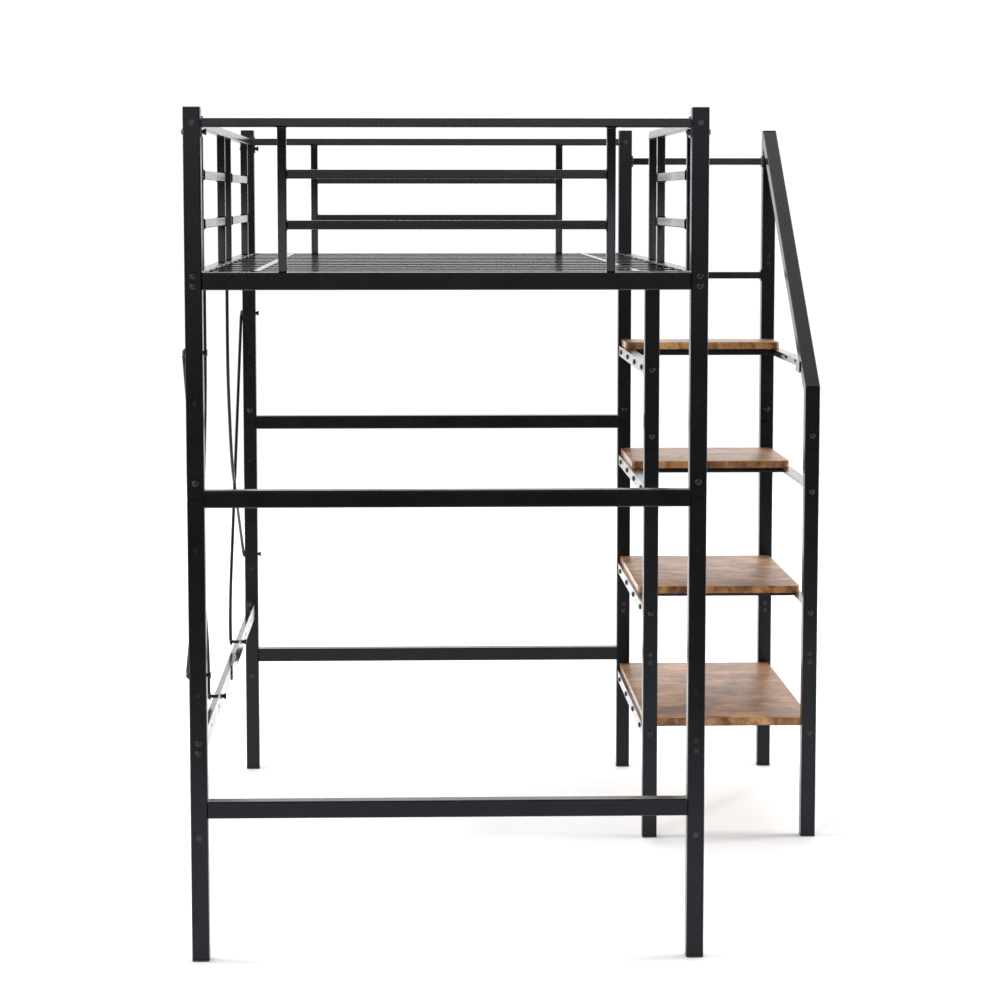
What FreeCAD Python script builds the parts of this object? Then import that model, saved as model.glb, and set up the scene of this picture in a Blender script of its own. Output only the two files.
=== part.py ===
import FreeCAD, Part
import math
import os

import Sketcher

# Loft bed of square steel tube with a step stair on its right side.
# +X points to the stair side, +Y to the head end, +Z up; the origin is on the floor, under the
# middle of the whole object.  Millimetres throughout.

doc = FreeCAD.newDocument("LoftBed")
sheet = doc.addObject("Spreadsheet::Sheet", "Sizes")

SIZES = [
    # overall
    ("bed_width", 1040), ("bed_length", 1980), ("bed_height", 1720),
    # square posts
    ("post_size", 35), ("post_wall", 1.2), ("joint_height", 943), ("sleeve_length", 130),
    ("sleeve_wall", 1.2), ("foot_thick", 4), ("foot_plug", 18), ("cap_thick", 2.5),
    # rails and crossbars of the end frames and the deck
    ("rail_size", 35), ("rail_wall", 1), ("low_bar_height", 312), ("deck_height", 1377),
    ("ledge_width", 22), ("ledge_thick", 2), ("end_plate_thick", 4),
    # guards
    ("guard_size", 18), ("guard_wall", 0.8), ("guard_top_height", 1689),
    ("guard_upper_height", 1588), ("guard_lower_height", 1488),
    ("guard_inset", 150), ("guard_middle_gap", 202),
    ("bracket_thick", 3), ("bracket_reach", 32), ("bracket_height", 42), ("bracket_wing", 19),
    ("bracket_drop", 11),
    # deck
    ("slat_width", 50), ("slat_height", 12), ("slat_wall", 1), ("slat_count", 12),
    ("strap_width", 16), ("strap_thick", 1.5), ("strap_inset", 95),
    # long rail low on the left side
    ("low_rail_height", 439), ("low_rail_flange", 27), ("low_rail_web", 40), ("low_rail_thick", 2),
    ("tab_thick", 3), ("splice_length", 150), ("splice_margin", 3), ("slot_long", 18),
    ("slot_wide", 8), ("slot_pitch", 220), ("web_bolt_inset", 82),
    # brace rods; a share is a part of the rod's reach or of its rise
    ("rod_size", 8), ("rod_upper_height", 1235), ("rod_lower_height", 586), ("eye_size", 18),
    ("eye_thick", 3), ("rod_reach", 585), ("rising_bend", 340), ("falling_bend", 220),
    ("rising_reach_share", 0.80), ("rising_low_share", 0.37), ("rising_high_share", 0.65),
    ("falling_low_share", 0.13), ("head_clearance", 1),
    # stair
    ("stair_reach", 385), ("stair_depth", 895), ("kink_height", 1095),
    ("board_thick", 18), ("board_corner", 12), ("first_step_height", 286), ("step_rise", 293),
    ("top_board_depth", 172), ("step_run", 216), ("board_inset", 8),
    ("angle_flange", 26), ("angle_thick", 2), ("angle_setback", 2), ("tab_overhang", 6),
    ("lug_length", 60), ("lug_lap", 36), ("step_bar_size", 20), ("step_bar_wall", 1),
    ("step_bar_setback", 105), ("stair_bar_upper_height", 1638), ("stair_bar_lower_height", 1335),
    ("bar_plate_inset", 2), ("bar_plate_lip", 6),
    # fasteners
    ("bolt_size", 8), ("hole_size", 8.4), ("bolt_head_size", 14), ("bolt_head_height", 4),
    ("bolt_past", 4), ("sleeve_bolt_past", 3), ("rod_bolt_depth", 10), ("bolt_pair_pitch", 20),
    ("nut_size", 14), ("nut_height", 8), ("plug_size", 12), ("plug_rim", 0.8), ("plug_dome", 1.2),
    ("screw_size", 5), ("screw_head_size", 10), ("screw_head_height", 2), ("screw_depth", 11),
    ("screw_gap", 0.4), ("screw_tip_gap", 1), ("board_screw_inset", 36),
]
for row, (alias, value) in enumerate(SIZES, start=1):
    sheet.set(f"A{row}", alias)
    sheet.set(f"B{row}", str(value))
    sheet.setAlias(f"B{row}", alias)
doc.recompute()


def size(alias):
    """The plain number held in one cell of the sheet."""
    return float(sheet.get(alias))


def cell(text):
    """An expression in which every word in braces is a cell of the sheet."""
    return text.replace("{", "Sizes.").replace("}", "")


# Places that many pieces share, as expressions of the sheet's cells.
LEFT = "((({rod_size} - {bed_width} - {stair_reach}) / 2))"       # outer face of the left posts
RIGHT = f"({LEFT} + {{bed_width}})"                                # outer face of the right posts
STAIR = f"({RIGHT} + {{stair_reach}})"                             # outer face of the stair
FOOT = "(-{bed_length} / 2)"                                       # outer face of the foot posts
HEAD = "({bed_length} / 2)"                                        # outer face of the head posts
STAIR_FRONT = "({bed_length} / 2 - {stair_depth})"                 # front face of the stair posts
DECK_TOP = "({deck_height} + {rail_size} / 2)"
DECK_UNDER = "({deck_height} - {rail_size} / 2)"
CAP_UNDER = "({bed_height} - {cap_thick})"
INNER_WIDTH = "({bed_width} - 2 * {post_size})"
INNER_LENGTH = "({bed_length} - 2 * {post_size})"
GUARD_OFFSET = "(({post_size} - {guard_size}) / 2)"                # guards run on the posts' middle
BAR_OFFSET = "(({post_size} - {rail_size}) / 2)"
SLOPE = ("atan(({bed_height} - {cap_thick} - {kink_height})"
         " / ({stair_depth} - {post_size}))")                      # pitch of the handrail

OVERCUT = "1"                          # mm by which a drill runs past both ends of what it cuts
SEED_CENTRE, SEED_RADIUS = 50, 9       # where an outline is drawn before its corners are held

node_objects = []                      # what is written to parts/


def place(thing, where):
    """Bind an object's position to three expressions."""
    for axis, text in zip("xyz", where):
        thing.setExpression(f"Placement.Base.{axis}", cell(text))


def box(name, extent, where):
    """A block with its size and lowest corner bound to the sheet."""
    block = doc.addObject("Part::Box", name)
    for side, text in zip(("Length", "Width", "Height"), extent):
        block.setExpression(side, cell(text))
    place(block, where)
    return block


def tube(name, axis, extent, where, wall):
    """A square tube along one axis: an outer block less an inner one that is open at both ends."""
    outer = box(name + "_outer", extent, where)
    inner_extent = [f"{e} - 2 * {wall}" if i != axis else e for i, e in enumerate(extent)]
    inner_where = [f"{w} + {wall}" if i != axis else w for i, w in enumerate(where)]
    inner = box(name + "_bore", inner_extent, inner_where)
    hollow = doc.addObject("Part::Cut", name)
    hollow.Base, hollow.Tool = outer, inner
    return hollow


def node(label, members):
    """Name a sub-part; several members stay separate solids of one compound."""
    if len(members) == 1:
        piece = members[0]
    else:
        piece = doc.addObject("Part::Compound", label + "_group")
        piece.Links = members
    piece.Label = label
    node_objects.append(piece)
    return piece


def drilled(piece, name, spots, low, length, diameter, turn="Z"):
    """Round holes through an object along one axis, from low over a length.

    spots are the two other coordinates of each hole, in the order x, y, z."""
    bores = []
    for i, (first, second) in enumerate(spots, start=1):
        bore = doc.addObject("Part::Cylinder", f"{name}_bore_{i}")
        bore.setExpression("Radius", cell(f"{diameter} / 2"))
        bore.setExpression("Height", cell(f"{length} + 2 * {OVERCUT}"))
        end = f"{low} - {OVERCUT}"
        where = [first, second, end]
        if turn == "Y":
            bore.Placement.Rotation = FreeCAD.Rotation(FreeCAD.Vector(1, 0, 0), -90)
            where = [first, end, second]
        elif turn == "X":
            bore.Placement.Rotation = FreeCAD.Rotation(FreeCAD.Vector(0, 1, 0), 90)
            where = [end, first, second]
        place(bore, where)
        bores.append(bore)
    if len(bores) > 1:
        together = doc.addObject("Part::MultiFuse", name + "_bores")
        together.Shapes = bores
    else:
        together = bores[0]
    cut = doc.addObject("Part::Cut", name)
    cut.Base, cut.Tool = piece, together
    return cut


def origin_plane(body, role):
    """One of a body's own origin planes."""
    return next(f for f in body.Origin.OriginFeatures if f.Role == role)


def sketch_on(body, name, role):
    """A sketch attached to one of its body's origin planes."""
    sketch = body.newObject("Sketcher::SketchObject", name)
    sketch.AttachmentSupport = [(origin_plane(body, role), "")]
    sketch.MapMode = "FlatFace"
    return sketch


def pin(sketch, geometry, point, across, up):
    """Hold one sketch point at two expressions, measured from the sketch's origin."""
    for kind, text in (("DistanceX", across), ("DistanceY", up)):
        index = sketch.addConstraint(Sketcher.Constraint(kind, -1, 1, geometry, point, 1.0))
        sketch.setExpression(f"Constraints[{index}]", cell(text))


def outline(sketch, corners):
    """A closed outline of straight lines whose corners are expressions."""
    first = sketch.GeometryCount
    count = len(corners)
    seeds = [FreeCAD.Vector(SEED_CENTRE + SEED_RADIUS * math.cos(2 * math.pi * i / count),
                            SEED_CENTRE + SEED_RADIUS * math.sin(2 * math.pi * i / count), 0)
             for i in range(count)]
    for i in range(count):
        sketch.addGeometry(Part.LineSegment(seeds[i], seeds[(i + 1) % count]))
    for i in range(count):
        sketch.addConstraint(
            Sketcher.Constraint("Coincident", first + i, 2, first + (i + 1) % count, 1))
    for i, (across, up) in enumerate(corners):
        pin(sketch, first + i, 1, across, up)


def rectangle(sketch, low, high):
    """A closed rectangle between two corners given as expressions."""
    outline(sketch, [low, (high[0], low[1]), high, (low[0], high[1])])


def circle(sketch, across, up, diameter):
    """A circle whose centre and diameter are expressions."""
    centre = FreeCAD.Vector(SEED_CENTRE, SEED_CENTRE, 0)
    index = sketch.addGeometry(Part.Circle(centre, FreeCAD.Vector(0, 0, 1), SEED_RADIUS))
    pin(sketch, index, 3, across, up)
    held = sketch.addConstraint(Sketcher.Constraint("Diameter", index, 2.0 * SEED_RADIUS))
    sketch.setExpression(f"Constraints[{held}]", cell(diameter))


def pad(body, sketch, name, length):
    """A pad of a given length away from the sketch."""
    feature = body.newObject("PartDesign::Pad", name)
    feature.Profile = sketch
    feature.setExpression("Length", cell(length))
    return feature


def drill(body, name, role, holes, reverse):
    """Round holes right through a body, from one of its origin planes."""
    sketch = sketch_on(body, name + "_layout", role)
    for across, up in holes:
        circle(sketch, across, up, "{hole_size}")
    cut = body.newObject("PartDesign::Pocket", name)
    cut.Profile = sketch
    cut.Type = "ThroughAll"
    cut.Reversed = reverse
    return cut


# Heights of the bolt holes that every post carries, so that one drilled tube fits anywhere.
STEP_COUNT = 4
ANGLE_BOLT_DROP = "({board_thick} + {angle_flange} / 2)"
STEP_TOPS = [f"({{first_step_height}} + {i} * {{step_rise}})" for i in range(STEP_COUNT)]
STEP_BOLTS = [f"({top} - {ANGLE_BOLT_DROP})" for top in STEP_TOPS]
SLEEVE_BOLT = "({joint_height} + {sleeve_length} / 4)"
LOW_PAIR = ["({low_rail_height} + {bolt_pair_pitch} / 2)",
            "({low_rail_height} - {bolt_pair_pitch} / 2)"]
DECK_PAIR = ["({deck_height} + {bolt_pair_pitch} / 2)",
             "({deck_height} - {bolt_pair_pitch} / 2)"]
BRACKET_BOLT = "({guard_top_height} - {guard_size})"

LOWER_HOLES = STEP_BOLTS[:3] + LOW_PAIR
UPPER_HOLES = [SLEEVE_BOLT, STEP_BOLTS[3]] + DECK_PAIR
CORNER_HOLES = UPPER_HOLES + ["{guard_top_height}"]


def post(label, across, along, bottom, top, holes, side_holes=(), notch=None):
    """A drilled square post; notch lets the middle crossbar reach the sleeve at its end."""
    body = doc.addObject("PartDesign::Body", label)
    section = sketch_on(body, label + "_section", "XY_Plane")
    edge = "{post_size}"
    rectangle(section, ("0", "0"), (edge, edge))
    inside = "{post_size} - {post_wall}"
    rectangle(section, ("{post_wall}", "{post_wall}"), (inside, inside))
    pad(body, section, label + "_tube", f"{top} - {bottom}")
    middle = "{post_size} / 2"
    drill(body, label + "_holes", "XZ_Plane", [(middle, f"{z} - {bottom}") for z in holes], False)
    if side_holes:
        drill(body, label + "_side_holes", "YZ_Plane",
              [(middle, f"{z} - {bottom}") for z in side_holes], True)
    if notch:
        wall_side, at_top = notch
        shape = sketch_on(body, label + "_notch_outline", "XZ_Plane")
        across_low = "{post_size} - {post_wall}" if wall_side > 0 else "0"
        across_high = "{post_size}" if wall_side > 0 else "{post_wall}"
        low = f"{top} - {bottom} - {{rail_size}} / 2" if at_top else "0"
        high = f"{top} - {bottom}" if at_top else "{rail_size} / 2"
        rectangle(shape, (across_low, low), (across_high, high))
        cut = body.newObject("PartDesign::Pocket", label + "_notch")
        cut.Profile = shape
        cut.Type = "ThroughAll"
    place(body, (across, along, bottom))
    return node(label, [body])


# ---------------------------------------------------------------- posts
LOWER_BOTTOM = "{foot_thick}"
JOINT = "{joint_height}"
corner_places = {
    "foot_left": (LEFT, FOOT, 1),
    "foot_right": (f"{RIGHT} - {{post_size}}", FOOT, -1),
    "head_left": (LEFT, f"{HEAD} - {{post_size}}", 1),
    "head_right": (f"{RIGHT} - {{post_size}}", f"{HEAD} - {{post_size}}", -1),
}
for corner, (across, along, inward) in corner_places.items():
    rods_here = "left" in corner
    guard_here = corner != "head_right"
    lower_side = ["{rod_lower_height}"] if rods_here else []
    upper_side = (["{rod_upper_height}"] if rods_here else []) + ([BRACKET_BOLT] if guard_here else [])
    post(corner + "_lower_post", across, along, LOWER_BOTTOM, JOINT, LOWER_HOLES, lower_side,
         (inward, True))
    post(corner + "_upper_post", across, along, JOINT, CAP_UNDER, CORNER_HOLES, upper_side,
         (inward, False))

STAIR_INNER = f"{RIGHT} - {{post_size}}"
STAIR_OUTER = f"{STAIR} - {{post_size}}"
post("stair_inner_lower_post", STAIR_INNER, STAIR_FRONT, LOWER_BOTTOM, JOINT, LOWER_HOLES)
post("stair_inner_upper_post", STAIR_INNER, STAIR_FRONT, JOINT, DECK_UNDER,
     [SLEEVE_BOLT, STEP_BOLTS[3]])
post("stair_outer_lower_post", STAIR_OUTER, STAIR_FRONT, LOWER_BOTTOM, JOINT, LOWER_HOLES)
post("stair_back_lower_post", STAIR_OUTER, f"{HEAD} - {{post_size}}", LOWER_BOTTOM, JOINT,
     LOWER_HOLES)
post("stair_back_upper_post", STAIR_OUTER, f"{HEAD} - {{post_size}}", JOINT, CAP_UNDER, UPPER_HOLES)

# Everything that stands on the floor or joins at mid height, as (x, y) of the post's low corner.
post_corners = [place_[:2] for place_ in corner_places.values()] + [
    (STAIR_INNER, STAIR_FRONT), (STAIR_OUTER, STAIR_FRONT), (STAIR_OUTER, f"{HEAD} - {{post_size}}")]

sleeves, feet, caps = [], [], []
for i, (across, along) in enumerate(post_corners, start=1):
    inside = "{post_size} - 2 * {post_wall}"
    sleeve = tube(f"sleeve_{i}", 2, [inside, inside, "{sleeve_length}"],
                  [f"{across} + {{post_wall}}", f"{along} + {{post_wall}}",
                   "{joint_height} - {sleeve_length} / 2"], "{sleeve_wall}")
    sleeve_middle = f"{across} + {{post_size}} / 2"
    sleeves.append(drilled(sleeve, f"sleeve_drilled_{i}", [(sleeve_middle, SLEEVE_BOLT)],
                           along, "{post_size}", "{hole_size}", "Y"))
    sole = box(f"foot_sole_{i}", ["{post_size}", "{post_size}", "{foot_thick}"], [across, along, "0"])
    stub = box(f"foot_stub_{i}", [inside, inside, "{foot_plug}"],
               [f"{across} + {{post_wall}}", f"{along} + {{post_wall}}", "{foot_thick}"])
    foot = doc.addObject("Part::Fuse", f"foot_{i}")
    foot.Base, foot.Tool = sole, stub
    feet.append(foot)
node("post_sleeves", sleeves)
node("post_feet", feet)

capped = [place_[:2] for place_ in corner_places.values()] + [(STAIR_OUTER, f"{HEAD} - {{post_size}}")]
for i, (across, along) in enumerate(capped, start=1):
    lid = box(f"cap_lid_{i}", ["{post_size}", "{post_size}", "{cap_thick}"], [across, along, CAP_UNDER])
    stub = box(f"cap_stub_{i}", ["{post_size} - 2 * {post_wall}", "{post_size} - 2 * {post_wall}",
                                 "{foot_plug}"],
               [f"{across} + {{post_wall}}", f"{along} + {{post_wall}}",
                f"{CAP_UNDER} - {{foot_plug}}"])
    cap = doc.addObject("Part::Fuse", f"cap_{i}")
    cap.Base, cap.Tool = lid, stub
    caps.append(cap)
node("post_top_caps", caps)

# ---------------------------------------------------------------- handrail
# Side profile in the YZ plane, measured from the stair's front face at the floor.  The upright
# and the sloping tube are cut on the line that halves the bend.
RUN = "({stair_depth} - {post_size})"
MITRE_DROP = f"({{post_size}} * (1 - sin({SLOPE})) / cos({SLOPE}))"
RAIL_TOP = f"({{kink_height}} + {RUN} * tan({SLOPE}))"
RAIL_UNDER = f"({RAIL_TOP} - {{post_size}} / cos({SLOPE}))"


def profile_tube(label, outer, inner, holes):
    """A tube cut to a side profile: a pad of the outline, and a bore of the inner outline."""
    body = doc.addObject("PartDesign::Body", label)
    side = sketch_on(body, label + "_side", "YZ_Plane")
    outline(side, outer)
    pad(body, side, label + "_pad", "{post_size}")
    hollow = sketch_on(body, label + "_hollow_outline", "YZ_Plane")
    hollow.setExpression("AttachmentOffset.Base.z", cell("{post_wall}"))
    outline(hollow, inner)
    bore = body.newObject("PartDesign::Pocket", label + "_bore")
    bore.Profile = hollow
    bore.Reversed = True
    bore.setExpression("Length", cell("{post_size} - 2 * {post_wall}"))
    if holes:
        drill(body, label + "_holes", "XZ_Plane", holes, False)
    place(body, (STAIR_OUTER, STAIR_FRONT, "0"))
    return node(label, [body])


share = "({post_wall} / {post_size})"
profile_tube(
    "handrail_upright",
    [("0", JOINT), ("{post_size}", JOINT), ("{post_size}", f"{{kink_height}} - {MITRE_DROP}"),
     ("0", "{kink_height}")],
    [("{post_wall}", JOINT), ("{post_size} - {post_wall}", JOINT),
     ("{post_size} - {post_wall}", f"{{kink_height}} - {MITRE_DROP} * (1 - {share})"),
     ("{post_wall}", f"{{kink_height}} - {MITRE_DROP} * {share}")],
    [("{post_size} / 2", SLEEVE_BOLT)])
WALL_RISE = f"({{post_wall}} / cos({SLOPE}))"
profile_tube(
    "handrail",
    [("0", "{kink_height}"), ("{post_size}", f"{{kink_height}} - {MITRE_DROP}"), (RUN, RAIL_UNDER),
     (RUN, RAIL_TOP)],
    [("{post_wall}", f"{{kink_height}} - {MITRE_DROP} * {share}"),
     ("{post_size} - {post_wall}", f"{{kink_height}} - {MITRE_DROP} * (1 - {share})"),
     (RUN, f"{RAIL_UNDER} + {WALL_RISE}"), (RUN, f"{RAIL_TOP} - {WALL_RISE}")],
    [])

# ---------------------------------------------------------------- end frames
BETWEEN = f"{LEFT} + {{post_size}}"
GUARD_UNDER = "({guard_top_height} - {guard_size} / 2)"


def cross_tube(name, height, along, edge, wall, across=BETWEEN, length=INNER_WIDTH):
    """A horizontal square tube across the bed, centred on a height."""
    return tube(name, 0, [length, edge, edge], [across, along, f"{height} - {edge} / 2"], wall)


def guard_grid(name, axis, start, length, offset, uprights):
    """A guard: a top rail, uprights on the deck rail, and two short rails between them."""
    wall, edge = "{guard_wall}", "{guard_size}"
    other = 1 - axis

    def oriented(along_axis, across_axis, up):
        values = [None, None, up]
        values[axis], values[other] = along_axis, across_axis
        return values

    members = [tube(name + "_top", axis, oriented(length, edge, edge),
                    oriented(start, offset, GUARD_UNDER), wall)]
    for i, at in enumerate(uprights, start=1):
        members.append(tube(f"{name}_upright_{i}", 2,
                            oriented(edge, edge, f"{GUARD_UNDER} - {DECK_TOP}"),
                            oriented(at, offset, DECK_TOP), wall))
    first, second = uprights[0], uprights[1]
    for height in ("{guard_upper_height}", "{guard_lower_height}"):
        members.append(tube(f"{name}_rail_{len(members)}", axis,
                            oriented(f"{second} - ({first}) - {edge}", edge, edge),
                            oriented(f"{first} + {edge}", offset, f"{height} - {edge} / 2"), wall))
    return members


for end, along in (("foot", FOOT), ("head", f"{HEAD} - {{post_size}}")):
    node(f"{end}_guard", guard_grid(
        f"{end}_guard", 0, BETWEEN, INNER_WIDTH, f"{along} + {GUARD_OFFSET}",
        [f"{BETWEEN} + {{guard_inset}}",
         f"{RIGHT} - {{post_size}} - {{guard_inset}} - {{guard_size}}"]))
    bar_at = f"{along} + {BAR_OFFSET}"
    node(f"{end}_deck_rail", [cross_tube(f"{end}_deck_tube", "{deck_height}", bar_at, "{rail_size}",
                                         "{rail_wall}")])
    node(f"{end}_mid_crossbar", [cross_tube(
        f"{end}_mid_tube", JOINT, bar_at, "{rail_size}", "{rail_wall}",
        f"{BETWEEN} - {{post_wall}}", f"{INNER_WIDTH} + 2 * {{post_wall}}")])
    node(f"{end}_low_crossbar", [cross_tube(f"{end}_low_tube", "{low_bar_height}", bar_at,
                                            "{rail_size}", "{rail_wall}")])

# ---------------------------------------------------------------- deck side rails
ROD_REACH = "({post_size} / 2 + {rod_reach})"                      # from the end of the bed
HALF_INNER = f"({INNER_LENGTH} / 2)"
LEDGE_TOP = f"({DECK_TOP} - {{slat_height}})"
SLAT_PITCH = f"({INNER_LENGTH} / {{slat_count}})"
slat_total = int(size("slat_count"))
SLAT_MIDDLES = [f"({FOOT} + {{post_size}} + ({i} + 1 / 2) * {SLAT_PITCH})"
                for i in range(slat_total)]

for side, across, ledge_at in (("left", LEFT, f"{LEFT} + {{rail_size}}"),
                               ("right", f"{RIGHT} - {{rail_size}}",
                                f"{RIGHT} - {{rail_size}} - {{ledge_width}}")):
    for end, start, plate_at in (
            ("foot", f"{FOOT} + {{post_size}}", f"{FOOT} + {{post_size}}"),
            ("head", "0", f"{HEAD} - {{post_size}} - {{end_plate_thick}}")):
        name = f"{side}_deck_rail_{end}"
        rail = tube(name + "_tube", 1, ["{rail_size}", HALF_INNER, "{rail_size}"],
                    [across, start, DECK_UNDER], "{rail_wall}")
        plain_ledge = box(name + "_strip", ["{ledge_width}", HALF_INNER, "{ledge_thick}"],
                          [ledge_at, start, f"{LEDGE_TOP} - {{ledge_thick}}"])
        half = SLAT_MIDDLES[:slat_total // 2] if end == "foot" else SLAT_MIDDLES[slat_total // 2:]
        ledge = drilled(plain_ledge, name + "_ledge",
                        [(f"{ledge_at} + {{ledge_width}} / 2", middle) for middle in half],
                        f"{LEDGE_TOP} - {{ledge_thick}}", "{ledge_thick}", "{screw_size}")
        inside = "{rail_size} - 2 * {rail_wall}"
        blank = box(name + "_blank", [inside, "{end_plate_thick}", inside],
                    [f"{across} + {{rail_wall}}", plate_at, f"{DECK_UNDER} + {{rail_wall}}"])
        plate = drilled(blank, name + "_plate",
                        [(f"{across} + {{rail_size}} / 2", height) for height in DECK_PAIR],
                        plate_at, "{end_plate_thick}", "{hole_size}", "Y")
        if side == "left":
            rod_at = f"{FOOT} + {ROD_REACH}" if end == "foot" else f"{HEAD} - {ROD_REACH}"
            rail = drilled(rail, name + "_rod_hole", [(rod_at, "{deck_height}")], across,
                           "{rail_wall}", "{hole_size}", "X")
        node(name, [rail, ledge, plate])
splices = []
for i, across in enumerate((LEFT, f"{RIGHT} - {{rail_size}}"), start=1):
    inside = "{rail_size} - 2 * {rail_wall}"
    splices.append(tube(f"deck_splice_{i}", 1, [inside, "{splice_length}", inside],
                        [f"{across} + {{rail_wall}}", "-{splice_length} / 2",
                         f"{DECK_UNDER} + {{rail_wall}}"], "{sleeve_wall}"))
node("deck_rail_splices", splices)

# ---------------------------------------------------------------- side guards
BRACKET_FACE = "{post_size} + {bracket_thick}"
HALF_GUARD = f"({HALF_INNER} - {{bracket_thick}})"
LEFT_GUARD_AT = f"{LEFT} + {GUARD_OFFSET}"
RIGHT_GUARD_AT = f"{RIGHT} - {{post_size}} + {GUARD_OFFSET}"
node("left_guard_foot", guard_grid(
    "left_guard_foot", 1, f"{FOOT} + {BRACKET_FACE}", HALF_GUARD, LEFT_GUARD_AT,
    [f"{FOOT} + {{post_size}} + {{guard_inset}}", "-{guard_middle_gap} / 2 - {guard_size}"]))
node("left_guard_head", guard_grid(
    "left_guard_head", 1, "0", HALF_GUARD, LEFT_GUARD_AT,
    ["{guard_middle_gap} / 2", f"{HEAD} - {{post_size}} - {{guard_inset}} - {{guard_size}}"]))
STAIR_GUARD_UPRIGHT = f"({STAIR_FRONT} + {GUARD_OFFSET})"
node("right_guard", guard_grid(
    "right_guard", 1, f"{FOOT} + {BRACKET_FACE}",
    f"{STAIR_GUARD_UPRIGHT} + {{guard_size}} - ({FOOT} + {BRACKET_FACE})", RIGHT_GUARD_AT,
    [f"{FOOT} + {{post_size}} + {{guard_inset}}", "-{guard_middle_gap} / 2 - {guard_size}",
     STAIR_GUARD_UPRIGHT]))
inside = "{guard_size} - 2 * {guard_wall}"
node("guard_splice", [tube("guard_splice_tube", 1, [inside, "{splice_length} / 2", inside],
                           [f"{LEFT_GUARD_AT} + {{guard_wall}}", "-{splice_length} / 4",
                            f"{GUARD_UNDER} + {{guard_wall}}"], "{guard_wall}")])
brackets = []
BRACKET_LOW = f"{BRACKET_BOLT} - {{bracket_drop}}"
for i, (across, inward, along, inner) in enumerate((
        (LEFT, 1, FOOT, 1), (LEFT, 1, f"{HEAD} - {{post_size}}", -1),
        (f"{RIGHT} - {{post_size}}", -1, FOOT, 1)), start=1):
    # one leg lies on the post's face towards the bed's middle, the other on its inner side
    face_at = f"{along} + {{post_size}}" if inner > 0 else f"{along} - {{bracket_thick}}"
    side_at = f"{across} + {{post_size}}" if inward > 0 else f"{across} - {{bracket_thick}}"
    face_from = across if inward > 0 else side_at
    along_from = (f"{along} + {{post_size}} - {{bracket_reach}}" if inner > 0 else along)
    leg = box(f"bracket_face_{i}", ["{post_size} + {bracket_thick}", "{bracket_thick}",
                                    "{bracket_height}"], [face_from, face_at, BRACKET_LOW])
    wing = box(f"bracket_side_{i}", ["{bracket_thick}", "{bracket_reach}", "{bracket_wing}"],
               [side_at, along_from, BRACKET_LOW])
    joined = doc.addObject("Part::Fuse", f"bracket_{i}")
    joined.Base, joined.Tool = leg, wing
    brackets.append(drilled(joined, f"bracket_drilled_{i}",
                            [(f"{along} + {{post_size}} / 2", BRACKET_BOLT)],
                            side_at, "{bracket_thick}", "{hole_size}", "X"))
node("guard_brackets", brackets)

# ---------------------------------------------------------------- deck slats and straps
slats = []
SLAT_LENGTH = f"({{bed_width}} - 2 * {{rail_size}})"
SLAT_ENDS = [f"({LEFT} + {{rail_size}} + {{ledge_width}} / 2)",
             f"({RIGHT} - {{rail_size}} - {{ledge_width}} / 2)"]
for i, middle in enumerate(SLAT_MIDDLES):
    start = f"{middle} - {{slat_width}} / 2"
    outer = box(f"slat_{i + 1}_outer", [SLAT_LENGTH, "{slat_width}", "{slat_height}"],
                [f"{LEFT} + {{rail_size}}", start, LEDGE_TOP])
    under = box(f"slat_{i + 1}_under", [SLAT_LENGTH, "{slat_width} - 2 * {slat_wall}",
                                        "{slat_height} - {slat_wall}"],
                [f"{LEFT} + {{rail_size}}", f"{start} + {{slat_wall}}", LEDGE_TOP])
    channel = doc.addObject("Part::Cut", f"slat_{i + 1}")
    channel.Base, channel.Tool = outer, under
    slats.append(drilled(channel, f"slat_{i + 1}_drilled", [(x, middle) for x in SLAT_ENDS],
                         f"{DECK_TOP} - {{slat_wall}}", "{slat_wall}", "{screw_size}"))
node("deck_slats", slats)
node("deck_straps", [
    box(f"strap_{i}", ["{strap_width}", INNER_LENGTH, "{strap_thick}"],
        [across, f"{FOOT} + {{post_size}}", DECK_TOP])
    for i, across in enumerate((f"{BETWEEN} + {{strap_inset}}",
                                f"{RIGHT} - {{post_size}} - {{strap_inset}} - {{strap_width}}"),
                               start=1)])


# ---------------------------------------------------------------- angle sections
def angle_bar(label, length, section, slots, rounds=(), screws=()):
    """An L along Y whose section is an outline, with slots and holes in its upright web.

    slots and rounds are distances along the bar; screws are (x, y) holes in its flat flange."""
    body = doc.addObject("PartDesign::Body", label)
    profile = sketch_on(body, label + "_section", "XZ_Plane")
    outline(profile, section["corners"])
    run = pad(body, profile, label + "_run", length)
    run.Reversed = True
    middle = section["web_middle"]
    if slots:
        layout = sketch_on(body, label + "_slot_layout", "YZ_Plane")
        for at in slots:
            rectangle(layout, (f"{at} - {{slot_long}} / 2", f"{middle} - {{slot_wide}} / 2"),
                      (f"{at} + {{slot_long}} / 2", f"{middle} + {{slot_wide}} / 2"))
        cut = body.newObject("PartDesign::Pocket", label + "_slots")
        cut.Profile = layout
        cut.Type = "ThroughAll"
        cut.Reversed = True
    if rounds:
        drill(body, label + "_holes", "YZ_Plane", [(at, middle) for at in rounds], True)
    if screws:
        drill(body, label + "_screw_holes", "XY_Plane", screws, True)
    return body


def step_section(inward):
    """A step angle: a flange under the board, and a web on the side away from the steps."""
    flange, thick = "{angle_flange}", "{angle_thick}"
    if inward > 0:
        corners = [("0", "0"), (thick, "0"), (thick, f"{flange} - {thick}"),
                   (flange, f"{flange} - {thick}"), (flange, flange), ("0", flange)]
    else:
        corners = [("0", f"{flange} - {thick}"), (f"{flange} - {thick}", f"{flange} - {thick}"),
                   (f"{flange} - {thick}", "0"), (flange, "0"), (flange, flange), ("0", flange)]
    return {"corners": corners, "web_middle": "({angle_flange} / 2)"}


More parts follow.
